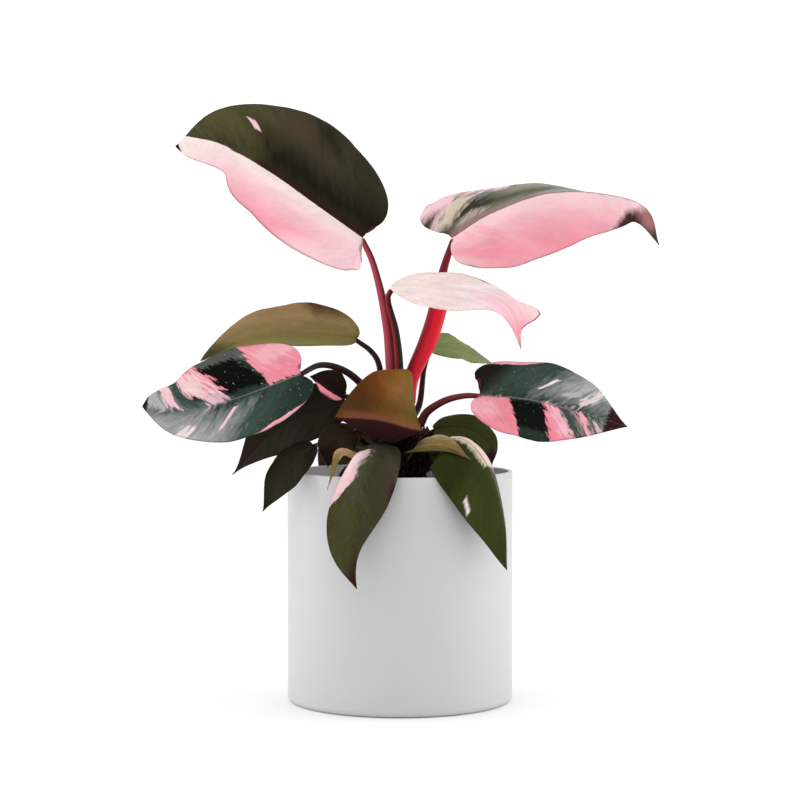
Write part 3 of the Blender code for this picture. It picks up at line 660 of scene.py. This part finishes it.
def bendLeaf(leaf):
    spine, length = leafSpine(leaf)
    directions = leafFrame(leaf)

    def bend(along, across, relief=0.0):
        forward, upper, right = directions(along)
        side = 1 if across > 0 else 0
        first, last = (math.radians(angle) for angle in leaf["rises"][side])
        curl, width = math.radians(leaf["curl"][side]), leaf["width"][side] * mm
        rise = first + (last - first) * min(max(along / length, 0), 1)**blade["risePower"]
        reach = abs(across)
        if curl:
            out = width / curl * (math.sin(rise + curl * reach / width) - math.sin(rise))
            up = width / curl * (math.cos(rise) - math.cos(rise + curl * reach / width))
        else:
            out, up = reach * math.cos(rise), reach * math.sin(rise)
        up += leaf["wave"] * mm * (reach / width)**2 * math.sin(math.tau * (3 * along / length + 0.3 * side))
        return spine(along) + right * math.copysign(out, across) + upper * (up + relief)

    return bend


def spreadLeaf(leaf, length):
    notch = math.asin(blade["notch"])
    middle = (math.pi / 2 - notch) / (math.pi - notch)

    def spread(station, row):
        # row is -1 at the left margin, 0 on the midrib and 1 at the right margin
        side = 1 if row > 0 else 0
        turn = notch + (math.pi - notch) * station**(
            blade["marginPower"] * math.log(middle) / math.log(leaf["widest"][side]))
        full = leaf["fullness"][side]
        if turn >= math.pi / 2:
            full = blade["tipFullness"] + leaf["taper"][side] * station**3
        margin = leaf["width"][side] * mm * max(0, math.sin(turn))**full
        lobe = leaf["lobes"][side] * length * math.sin(math.pi * min(2 * station, 1))**blade["lobePower"]
        marginAlong = length * station**blade["marginPower"] - lobe
        if "corner" in leaf and side == 0:
            where, reach, height = leaf["corner"]
            beyond = marginAlong / length - where
            bump = math.exp(-(beyond / (0.5 * reach if beyond > 0 else reach))**2)
            margin += height * mm * bump * (1 - station**20)
        if margin < 1e-6:
            return length, 0
        ribAlong = length * station**blade["ribPower"]
        rib = min(blade["ribHalfWidth"], 0.35 * margin)
        across = margin * abs(row)
        share = max(0, (across - rib) / (margin - rib))
        return ribAlong + (marginAlong - ribAlong) * share**1.2, math.copysign(across, row)

    return spread


def growBlade(name, leaf, materials, slotName, nodes):
    spine, length = leafSpine(leaf)
    spread, bend = spreadLeaf(leaf, length), bendLeaf(leaf)
    drift = Vector((len(name), leaf["width"][0], leaf["midrib"][0][2]))
    bm = bmesh.new()
    bmesh.ops.create_grid(bm, x_segments=blade["stations"], y_segments=blade["rows"], size=1)
    layer = bm.verts.layers.float_vector.new("leafPlace")
    weight = bm.verts.layers.deform.verify()
    for vert in bm.verts:
        station, row = (vert.co.x + 1) / 2, -vert.co.y
        along, across = spread(station, row if abs(row) > 1e-4 else 0)
        share = across / (leaf["width"][1 if across > 0 else 0] * mm)
        vein = along / length - blade["lean"] * abs(share)
        fade = min(1, abs(across) / (3 * mm)) * min(1, 4 * (1 - station))
        relief = -blade["veinRelief"] * math.cos(math.tau * blade["veins"] * vein) * fade
        relief -= blade["ribGroove"] * math.exp(-(across / blade["grooveWidth"])**2) * (1 - station)**0.3
        relief += blade["buckle"] * fade * min(1, abs(share)) * noise.noise(
            Vector((along, across, 0)) / blade["buckleSize"] + drift)
        vert[layer] = (along / length, share, abs(row))
        vert[weight][0] = max(0, 1 - abs(across) / blade["ribHalfWidth"]) * (1 - 0.9 * station)
        vert.co = bend(along, across, relief)
    bmesh.ops.remove_doubles(bm, verts=bm.verts, dist=0.01 * mm)
    piece = addPiece(name, bm, materials, nodes)
    piece.vertex_groups.new(name="midrib")
    solid = piece.modifiers.new("blade", "SOLIDIFY")
    solid.thickness, solid.offset = blade["ribThickness"], -1
    solid.vertex_group = "midrib"
    solid.thickness_vertex_group = blade["thickness"] / blade["ribThickness"]
    solid.material_offset, solid.material_offset_rim = 1, 0


# leaf colours, as names of paints: the base, the under side, the midrib and the edge, then the blotches
# blotch: paint, from one vein to another, from one place across to another (the margins are -1 and 1),
# softness and raggedness of its edges, strength, how steeply the veins slant there
# rims: paint, first and last place along, side of the leaf, inner edge as a share of the half's width

whole = (-1.3, 1.3)  # across both halves, margins and all


def lookOf(base, under, midrib, edge, blotches, flecks=0.0, rims=(), ribEnd=None):
    return dict(base=base, under=under, midrib=midrib, edge=edge, blotches=blotches, flecks=flecks, rims=rims,
                ribEnd=ribEnd)


looks = {
    "upper_left": lookOf("darkOlive", "wine", "maroon", "umber", [
        ("umber", (0.12, 0.62), (0.3, 1.2), 0.25, 0.08), ("moss", (0.52, 0.95), (0.12, 1.2), 0.22, 0.08),
        # the first pitch patch, darkest by the midrib on the far half, is painted shade in the fold
        ("pitch", (-0.3, 0.56), (0, 0.42), 0.14, 0.05), ("pitch", (0.12, 0.24), (0.72, 1.2), 0.09, 0.06, 0.7),
        ("maroon", (-0.1, 0.6), (-0.1, 0.045), 0.04, 0.01, 1, 0),
        ("wine", (0.492, 0.51), (0.36, 0.47), 0.016, 0.006, 0.7, 0.367),
        ("palePink", (0.5, 0.527), (0.4, 0.505), 0.008, 0.004, 1, 0.367),
        ("blush", (-0.9, 1.2), (-1.3, -0.01), 0.006, 0.003, 1, 0),
        ("blush", (0.72, 1.4), (-0.1, 1.3), 0.012, 0.004, 1, 1.6),
        # the pink deepening from the midrib to the margin of the near half is the leaf's own pink, partly
        # painted shade where that half turns away from the light
        ("palePink", (-0.6, 0.9), (-1.3, -0.24), 0.14, 0.02), ("rose", (0.06, 0.62), (-1.3, -0.5), 0.2, 0.03),
        ("deepPink", (0.16, 0.4), (-1.2, -0.72), 0.18, 0.03, 0.55),
        ("black", (0.985, 1.3), whole, 0.006, 0, 1, 0)], ribEnd=0.7),
    "upper_right": lookOf("greyGreen", "maroon", "brick", "umber", [
        ("olive", (-0.04, 0.34), (-0.62, 0), 0.06, 0.04, 0.9),
        ("darkOlive", (-0.04, 0.12), (-0.7, -0.2), 0.05, 0.04),
        ("straw", (0.08, 0.4), (-1.2, -0.62), 0.09, 0.04, 0.6),
        ("beige", (-0.13, -0.03), (-0.85, -0.16), 0.03, 0.03, 0.85),
        ("beige", (0, 0.12), (-0.3, -0.14), 0.03, 0.03, 0.5),
        ("palePink", (-0.6, -0.12), (-1.3, -0.3), 0.04, 0.03),
        ("palePink", (-0.6, 0.06), (-1.4, -0.9), 0.04, 0.02),
        ("umber", (-0.6, -0.15), (-0.66, 0), 0.05, 0.02), ("umber", (-0.1, 0), (-0.24, 0), 0.04, 0.02),
        ("russet", (-0.2, 0.5), (-0.1, 0), 0.03, 0.03, 0.7, 0),
        ("palePink", (-0.9, 1.2), (0.012, 1.3), 0.006, 0.003, 1, 0),
        ("blush", (0.05, 0.9), (0, 0.36), 0.2, 0.02, 0.4), ("rose", (-0.6, 0.66), (0.46, 1.3), 0.22, 0.04),
        ("deepPink", (-0.12, 0.06), (0.3, 0.9), 0.1, 0.05, 0.8),
        ("deepPink", (0.1, 0.6), (0.5, 1.2), 0.2, 0.05, 0.9),
        ("cream", (-0.19, -0.13), (0.3, 0.6), 0.05, 0.03, 0.4),
        ("brick", (-0.185, -0.175), (0.66, 0.7), 0.02, 0, 0.8),
        ("brick", (0.83, 1.4), whole, 0.05, 0.012, 0.85, -0.13),
        ("maroon", (0.8, 0.94), (0.16, 1.3), 0.035, 0.012, 0.95, -0.13),
        ("umber", (0.93, 1.3), whole, 0.05, 0.01, 1, 0)]),
    "young_pink": lookOf("blush", "palePink", "blush", "rose", [
        ("palePink", (-0.5, 0.4), whole, 0.2, 0.03, 0.55), ("cream", (-0.6, 0.3), whole, 0.3, 0.03, 0.4),
        ("palePink", (0.5, 1.2), (-2.8, 1.3), 0.25, 0.03),
        ("rose", (0.78, 1.3), (-1.8, 1.3), 0.18, 0.03, 1, 0.1),
        ("deepPink", (0.86, 1.3), (-0.7, 0.5), 0.1, 0.02, 0.7, 0),
        ("brick", (0.96, 1.3), (-0.4, 0.4), 0.04, 0.01, 1, 0),
        ("brick", (-1, 1.3), (-3, -1.55), 0.02, 0.03, 0.7, 0),
    ], rims=[("brick", 0.74, 0.99, -1, 0.9), ("greyGreen", 0.44, 0.62, -1, 0.92)]),
    "mid_left": lookOf("bronze", "maroon", "goldOlive", "brick", [
        ("copper", (0.2, 0.8), (0.5, 1.3), 0.2, 0.06, 0.8, 0),
        ("goldOlive", (-0.5, 1.2), (-1.3, 0.22), 0.16, 0.05, 0.75, 0),
        ("paleOlive", (-0.2, 0.6), (-1.3, -0.5), 0.14, 0.05, 0.4, 0),
        ("darkRust", (-0.4, 0.12), (0.64, 1.3), 0.09, 0.02, 0.85),
        ("umber", (-0.4, -0.02), (-0.4, 1.3), 0.08, 0.03, 0.6, 0.1), ("olive", (0.8, 1.3), whole, 0.15, 0.04),
    ]),
    "left_marbled": lookOf("darkGreen", "wine", "greyGreen", "pitch", [
        # the silver-grey patches in this list are painted sheen, and the broad sea-green patch under them is
        # partly painted sheen
        ("seaGreen", (0.1, 0.9), (-1.3, -0.1), 0.2, 0.06),
        ("silver", (0.34, 1), (-1.3, -0.4), 0.22, 0.05, 0.9),
        ("silver", (0.58, 1.2), (-0.6, -0.05), 0.16, 0.05, 0.7),
        ("ashGreen", (-0.1, 0.44), (0.7, 1.3), 0.03, 0.04), ("black", (0.16, 0.42), (0.12, 0.8), 0.02, 0.03),
        ("deepPink", (-0.5, 0.19), (0.03, 1.3), 0.01, 0.02, 1, 0.12),
        ("palePink", (-0.4, 0.1), (0.4, 0.85), 0.08, 0.06, 0.5, 0.2),
        ("deepPink", (0.4, 0.66), (0.25, 1.3), 0.014, 0.05),
        ("blush", (0.45, 0.66), (0.3, 0.75), 0.05, 0.06, 0.7),
        ("palePink", (0.44, 0.56), (0.03, 0.3), 0.03, 0.05, 0.8),
        ("greyGreen", (0.66, 1.2), (0, 1.3), 0.04, 0.05), ("seaGreen", (0.64, 0.72), (0.1, 1), 0.03, 0.05),
        ("palePink", (0.75, 0.83), (0.1, 1.3), 0.014, 0.04), ("silver", (0.84, 0.96), (0, 0.6), 0.03, 0.03),
        ("palePink", (0.37, 0.395), (-0.62, -0.2), 0.01, 0.008, 1, 0.3),
        ("blush", (0.6, 0.66), (-0.95, -0.4), 0.02, 0.04, 0.8),
        ("pitch", (0.97, 1.3), whole, 0.01, 0.01, 1, 0)], flecks=0.8, rims=[("rose", 0.04, 0.4, -1, 0.9)]),
    "small_left": lookOf("sepia", "maroon", "maroon", "maroon", [
        ("deepPink", (-0.5, 0.8), (-1.4, -0.3), 0.03, 0.02, 1, 0.1),
        ("maroon", (-0.5, 1.2), (-1.4, -0.85), 0.04, 0.02, 0.8, 0.1)]),
    "lower_left": lookOf("pitch", "maroon", "pitch", "umber", [
        ("darkOlive", (0, 0.9), (-1.3, 0), 0.2, 0.05, 0.35), ("maroon", (0.7, 1.3), whole, 0.2, 0.03, 0.4)]),
    "small_lower_left": lookOf("pitch", "maroon", "darkOlive", "maroon", [
        ("darkOlive", (0.1, 0.8), (-1.3, 0.6), 0.2, 0.05, 0.7)]),
    "front_left": lookOf("darkOlive", "maroon", "olive", "maroon", [
        # the moss streak by the midrib is a painted highlight along the fold
        ("olive", (0.2, 0.9), (-0.4, 1.3), 0.2, 0.06), ("moss", (0.1, 0.5), (-0.5, -0.1), 0.14, 0.05, 0.25),
        ("umber", (0.1, 0.9), (-1.3, -0.6), 0.14, 0.05),
        ("palePink", (0.17, 0.365), (0.25, 1.4), 0.012, 0.02),
        ("palePink", (0.17, 0.27), (0.04, 0.4), 0.012, 0.02),
        ("blush", (0.19, 0.3), (0.1, 0.6), 0.05, 0.03, 0.5),
        # the pitch band by the midrib is painted shade along the fold, and the ash-green band beside it is a
        # painted highlight
        ("pitch", (-0.2, 0.45), (-0.4, -0.02), 0.14, 0.04, 0.55),
        ("ashGreen", (0.2, 0.5), (0, 0.26), 0.09, 0.04, 0.45), ("maroon", (0.85, 1.3), whole, 0.14, 0.03),
        ("maroon", (0.2, 0.9), (-1.3, -0.88), 0.03, 0.02)]),
    "front_right": lookOf("leafGreen", "maroon", "darkOlive", "maroon", [
        ("deepGreen", (-0.3, 0.38), (0.1, 1.3), 0.2, 0.05),
        ("deepGreen", (0.2, 1.2), (0, 0.26), 0.12, 0.03, 0.8),
        ("beige", (-0.5, 0.46), (-1.3, 0.09), 0.02, 0.01, 1, 0),
        ("palePink", (0, 0.4), (-1.3, -0.5), 0.1, 0.03, 0.5, 0.1),
        ("blush", (0.425, 0.505), (0.615, 0.68), 0.01, 0.003),
        ("maroon", (0.3, 1.2), (0.93, 1.3), 0.03, 0.02)]),
    "centre_bronze": lookOf("amber", "maroon", "maroon", "brick", [
        ("copper", (0.1, 0.5), (0.35, 0.8), 0.2, 0.05, 0.35, 0.1),
        ("rust", (0.42, 1.1), (0.1, 1.3), 0.2, 0.05, 1, 0.1),
        ("goldOlive", (-0.4, 0.26), (0.1, 1.1), 0.14, 0.05, 0.7, 0.1),
        ("brownOlive", (-0.4, 1.1), (0.06, 0.45), 0.16, 0.06, 0.6, 0.1),
        ("sepia", (0.56, 1.2), (0, 1.3), 0.2, 0.05, 0.5, 0.1),
        ("tan", (-0.5, 0), (0.1, 1.3), 0.05, 0.02, 0.7, 0.1),
        ("brick", (0, 0.9), (0, 0.1), 0.05, 0.02, 0.35, 0.1),
        ("maroon", (-0.9, 1.2), (-1.3, -0.01), 0.01, 0.004, 1, 0),
        # the sepia over the near half deepens its maroon: partly painted shade beneath the arching leaf
        ("sepia", (-0.9, 1.2), (-1.5, -0.3), 0.3, 0.05, 0.7, 0)]),
    "right_marbled": lookOf("darkGreen", "wine", "greyGreen", "pitch", [
        # the silver-grey patches in this list are painted sheen, and the broad sea-green patch under them is
        # partly painted sheen
        ("seaGreen", (0.02, 0.8), (-1, -0.1), 0.16, 0.06),
        ("silver", (0.36, 0.9), (-1.2, -0.3), 0.22, 0.05, 0.85),
        ("pitch", (-0.6, -0.02), (-0.8, 0), 0.12, 0.03),
        ("black", (0.1, 0.43), (0.06, 0.78), 0.02, 0.02, 1, 0.12),
        ("darkGreen", (0.06, 0.42), (0.75, 1.3), 0.04, 0.03, 1, 0.12),
        ("deepPink", (-0.9, 0.195), (0, 1.4), 0.01, 0.02, 1, 0.12),
        ("palePink", (-0.6, 0.08), (0.1, 0.5), 0.1, 0.05, 0.5, 0.12),
        ("deepPink", (0.42, 0.68), (0.02, 1.3), 0.014, 0.04, 1, 0.14),
        ("palePink", (0.46, 0.6), (0, 0.7), 0.06, 0.05, 0.7, 0.2),
        ("greyGreen", (0.53, 1.1), (0, 1.3), 0.04, 0.06, 0.8),
        ("seaGreen", (0.52, 0.6), (0, 1.1), 0.03, 0.05), ("rose", (0.64, 0.69), (0, 1.3), 0.02, 0.04),
        ("palePink", (0.74, 0.78), (0.1, 1.3), 0.02, 0.03, 0.7),
        ("blush", (0.28, 0.3), (-0.64, -0.3), 0.01, 0.006, 1, 0.3),
        ("blush", (0.6, 0.65), (-0.7, -0.1), 0.03, 0.05, 0.8),
        ("silver", (0.45, 0.52), (-0.9, -0.3), 0.02, 0.04, 1, 0.3),
        ("maroon", (0.86, 1.3), whole, 0.012, 0.02, 1, 0)], flecks=0.8, rims=[("rose", 0, 0.4, -1, 0.9)]),
    "back_right": lookOf("paleOlive", "olive", "paleOlive", "paleOlive", [
        ("greyGreen", (0.55, 1.2), whole, 0.2, 0.05, 0.3)]),
    "lower_right": lookOf("olive", "maroon", "darkOlive", "maroon", [
        ("leafGreen", (0.1, 0.7), (-1.2, 0.8), 0.2, 0.05), ("maroon", (0.78, 1.3), whole, 0.1, 0.03)]),
    "inner_left": lookOf("sepia", "maroon", "maroon", "umber", [
        ("umber", (0, 0.5), whole, 0.2, 0.05, 0.3)]),
    "back_left_low": lookOf("darkGreen", "maroon", "olive", "maroon", [
        ("olive", (0.1, 0.8), (-1.3, 0.6), 0.2, 0.06), ("rose", (0.5, 0.56), (0.2, 1.3), 0.012, 0.02),
    ], flecks=0.3),
    "back_right_low": lookOf("olive", "maroon", "olive", "maroon", [
        ("darkGreen", (0, 0.7), (-1.3, 0.1), 0.2, 0.06), ("rose", (0.05, 0.2), (0.15, 1.3), 0.014, 0.03),
        ("blush", (0.42, 0.46), (-0.8, -0.2), 0.01, 0.015)], flecks=0.2),
    "cataphyll_left": lookOf("tan", "umber", "tan", "umber", [
        ("goldOlive", (0.66, 1.2), whole, 0.12, 0.04), ("umber", (-0.3, 0.3), whole, 0.12, 0.04)]),
    "cataphyll_right": lookOf("moss", "umber", "tan", "umber", [
        ("brownOlive", (0.2, 1.2), (-0.5, 0.9), 0.14, 0.05, 0.6, 0),
        ("goldOlive", (0.4, 0.8), (-0.3, 0.6), 0.14, 0.05, 0.8, 0),
        ("tan", (0.55, 1.2), (-1.3, -0.45), 0.14, 0.04, 0.7, 0),
        ("beige", (0.3, 1.2), (-1.3, -0.86), 0.05, 0.02, 0.5, 0),
        ("sepia", (-0.4, 0.3), whole, 0.14, 0.04, 1, 0)]),
}


def makeBlotchGroup():
    # how much of a blotch there is: the distance inside its edges, roughened, then sharpened
    group = bpy.data.node_groups.new("leafBlotch", "ShaderNodeTree")
    for name in ("Along", "Across", "Ragged", "Slant", "Vein From", "Vein To", "Across From", "Across To",
                 "Squash", "Raggedness", "Sharpness"):
        group.interface.new_socket(name, in_out="INPUT", socket_type="NodeSocketFloat")
    group.interface.new_socket("Amount", in_out="OUTPUT", socket_type="NodeSocketFloat")
    given = group.nodes.new("NodeGroupInput").outputs

    def inside(value, first, last):
        return maths("MINIMUM", minus(value, given[first]), minus(given[last], value))

    vein = minus(given["Along"], times(maths("ABSOLUTE", given["Across"]), given["Slant"]))
    inAcross = times(inside(given["Across"], "Across From", "Across To"), given["Squash"])
    depth = maths("MINIMUM", inside(vein, "Vein From", "Vein To"), inAcross)
    depth = times(given["Ragged"], given["Raggedness"], depth)
    amount = times(depth, given["Sharpness"], 0.5, clamp=True)
    feed(group, group.nodes.new("NodeGroupOutput"), {"Amount": amount})
    return group


def addBlotch(tree, colour, group, places, squash, paint, vein, across, soft, ragged, strength=1, slant=0.25):
    inputs = {**places, "Slant": slant, "Vein From": vein[0], "Vein To": vein[1], "Across From": across[0],
              "Across To": across[1], "Squash": squash, "Raggedness": ragged, "Sharpness": 1 / soft}
    amount = addNode(tree, "ShaderNodeGroup", node_tree=group)
    feed(tree, amount, inputs)
    return mixColours(times(amount.outputs[0], strength), colour, paints[paint])


def addRim(colour, along, across, rim, ragged, paint, first, last, side, inner):
    ends = times(maths("MINIMUM", minus(along, first), minus(last, along)), 0.4)
    depth = maths("ADD", maths("MINIMUM", ends, 0.5 - 0.5 * inner), times(rim, 0.5, -0.5))
    depth = maths("MINIMUM", times(ragged, 0.006, depth), times(across, side))
    return mixColours(times(depth, 90, clamp=True), colour, paints[paint])


def leafFinish(name, leaf, group, under):
    material, tree = newMaterial(name + ("Under" if under else "Top"))
    look, length = looks[name], leafSpine(leaf)[1]
    width = 0.5 * sum(leaf["width"]) * mm
    place = addNode(tree, "ShaderNodeAttribute", attribute_name="leafPlace").outputs["Vector"]
    along, across, rim = addNode(tree, "ShaderNodeSeparateXYZ", {0: place}).outputs
    reach = maths("ABSOLUTE", across)
    vein = minus(along, times(reach, blade["lean"]))
    seed = len(name) * 3.7 + leaf["midrib"][0][0]
    flow = addNode(tree, "ShaderNodeCombineXYZ", {0: vein, 1: across, 2: seed}).outputs[0]
    streaks, clouds = (noiseOver(flow, 1.0, detail, stretch, 0.6)
                       for detail, stretch in ((4.0, (42, 4.5, 1)), (3.0, (7, 4, 1))))
    ragged = times(streaks, 4.0, -2.0)
    base = paints[look["base"]]
    colour = mixColours(clouds, [0.75 * part for part in base], [min(1, 1.3 * part) for part in base])
    places = {"Along": along, "Across": across, "Ragged": ragged}
    for blotch in look["blotches"]:
        colour = addBlotch(tree, colour, group, places, width / length, *blotch)
    for strip in look["rims"]:
        colour = addRim(colour, along, across, rim, ragged, *strip)
    tone = times(clouds, 0.35, times(streaks, 0.3, 0.66))
    grey = addNode(tree, "ShaderNodeCombineColor", {0: tone, 1: tone, 2: tone}).outputs[0]
    colour = mixColours(1.0, colour, grey, "MULTIPLY")
    if look["flecks"]:
        fleck = above(noiseOver(flow, 1.0, 2.0, (110, 15, 1), 0.6), 0.7, 16)
        colour = mixColours(times(fleck, look["flecks"]), colour, paints["blush"])
    ribWidth = times(along, -blade["ribNarrows"] / width, blade["ribPaint"] / width)
    onRib = times(minus(ribWidth, reach), 2.5 * width / mm, clamp=True)
    if look["ribEnd"]:
        onRib = times(onRib, times(along, -20.0, 20.0 * look["ribEnd"], clamp=True))
    colour = mixColours(times(onRib, 0.8), colour, paints[look["midrib"]])
    colour = mixColours(times(above(rim, 0.972, 60), 0.3), colour, paints[look["edge"]])
    if under:
        colour = mixColours(0.62, colour, paints[look["under"]])
    ridges = maths("SINE", times(vein, 3 * math.tau * blade["veins"]))
    relief = times(ridges, 0.18, times(streaks, 0.8))
    roughness = times(clouds, 0.2, 0.5 if under else 0.34)
    return finished(material, colour, roughness, 0.035, (relief, 0.22, 0.0004))


def slotOf(name):
    bronzes = {"mid_left": "leaf_bronze", "centre_bronze": "leaf_bronze", "young_pink": "leaf_pink"}
    olives = ("back_right", "lower_right", "front_left", "front_right")
    return "leaf_olive" if name in olives else bronzes.get(name, "leaf_dark")


def makeLeaves():
    group = makeBlotchGroup()

    def faceFinishes(name, leaf):
        return [leafFinish(name, leaf, group, under) for under in (False, True)]

    skins = {
        "upper_left": stalkFinish("pinkRedStalk", "redPink", "deepWine", 0.62, 0.4),
        "upper_right": stalkFinish("brightRedStalk", "scarlet", "ruby", 0.72, 0.3, shadeLeft=True,
                                   crown="wine"),
        "others": stalkFinish("darkRedStalk", "deepWine", "pitch", 0.4),
        "young_pink": stalkFinish("wineStalk", "ruby", "pitch", 0.36, 0.4),
        "right_marbled": stalkFinish("brownRedStalk", "russet", "maroon", 0.6),
        "small_lower_left": stalkFinish("strawStalk", "straw", "moss"),
    }
    for name, leaf in leaves.items():
        growBlade("blade_" + name, leaf, faceFinishes(name, leaf), slotOf(name), ["leaf_" + name])
        points = scaled(leaf["stalk"])
        if "root" in leaf:
            seat, out = stemSeat(leaf["root"])
            points = [seat, seat + out * 6 * mm] + points
        else:  # the stalk stands on the stem's top, its foot just inside
            points[0] = points[0] - Vector((0, 0, 2 * mm))
        forward, upper, _ = leafFrame(leaf)(0)
        points.append(Vector(leaf["midrib"][0]) * mm - upper * 1.0 * mm + forward * 1.5 * mm)
        growTube("petiole_" + name, points, [radius * mm for radius in leaf["radii"]],
                 skins.get(name, skins["others"]),
                 ["stalk_" + name], clasp=0.3 if "root" in leaf else 0.0)
    print("leaves and stalks made:", len(leaves))
    for name, leaf in sheaths.items():
        seat, out = stemSeat(leaf["root"])
        start = [seat / mm + out * 1.0, seat / mm + out * 5.5 + Vector((0, 0, 2))]
        whole = {**leaf, "midrib": [tuple(point) for point in start] + leaf["midrib"]}
        growBlade("sheath_" + name, whole, faceFinishes(name, whole), "sheath", [name])
    rootSkin = stalkFinish("rootBrown", "umber", "pitch")
    for name, item in aerialRoots.items():
        seat, out = stemSeat(item["root"])
        x, y = (value * mm for value in item["foot"])
        foot = Vector((x, y, soilHeight(x, y) - 1 * mm))
        points = [seat, seat + out * 5 * mm] + scaled(item["path"]) + [foot + Vector((0, 0, 5 * mm)), foot]
        growTube("root_" + name, points, [1.3 * mm, 1.1 * mm, 0.9 * mm], rootSkin, [name])
    print("sheaths and roots made")


# studio

studio = {
    "camera": (0, -1.34, 0.229), "pitch": 88.2, "lens": 96.93, "sensor": 36, "floor": 40.0,
    "floorColour": (0.97, 0.97, 0.97, 1), "skyFront": 0.72, "skyRest": 1.16,
    "lights": {
        "key": dict(place=(-0.8, -1.0, 1.6), aim=(0, 0, 0.22), size=(1.4, 1.4), power=2),
        "sideRight": dict(place=(1.3, 0.1, 0.45), aim=(0, 0, 0.12), size=(0.7, 1.0), power=5.5),
        "sideLeft": dict(place=(-1.3, 0.1, 0.45), aim=(0, 0, 0.12), size=(0.7, 1.0), power=4.5),
    },
}


def areaLight(name, place, aim, size, power):
    data = bpy.data.lights.new(name, "AREA")
    data.shape, data.size, data.size_y, data.energy = "RECTANGLE", *size, power
    light = addObject(name, data)
    light.location = place
    light.rotation_euler = (Vector(aim) - Vector(place)).to_track_quat("-Z", "Y").to_euler()


def makeStudio():
    bm = bmesh.new()
    bmesh.ops.create_grid(bm, x_segments=4, y_segments=4, size=studio["floor"])
    floor = meshObject("studio_floor", bm)
    floor.data.materials.append(finished(newMaterial("paleFloor")[0], studio["floorColour"], 0.9, 0.1))
    world = bpy.data.worlds.new("studio")
    bpy.context.scene.world = world
    world.use_nodes = True
    tree = world.node_tree
    direction = addNode(tree, "ShaderNodeTexCoord").outputs["Generated"]
    ahead = addNode(tree, "ShaderNodeSeparateXYZ", {0: direction}).outputs[1]
    front = times(ahead, -1.4, -0.2, clamp=True)
    level = times(front, studio["skyFront"] - studio["skyRest"], studio["skyRest"])
    feed(tree, tree.nodes["Background"], {"Color": (1, 1, 1, 1), "Strength": level})
    for name, light in studio["lights"].items():
        areaLight(name, **light)
    camera = addObject("camera", bpy.data.cameras.new("camera"))
    camera.location = studio["camera"]
    camera.rotation_euler = (math.radians(studio["pitch"]), 0, 0)
    camera.data.lens, camera.data.sensor_width = studio["lens"], studio["sensor"]
    bpy.context.scene.camera = camera
    bpy.context.scene.view_settings.view_transform = "Standard"
    print("studio made")


makePot()
makeSoil()
makeStem()
makeRemains()
makeLeaves()
makeStudio()
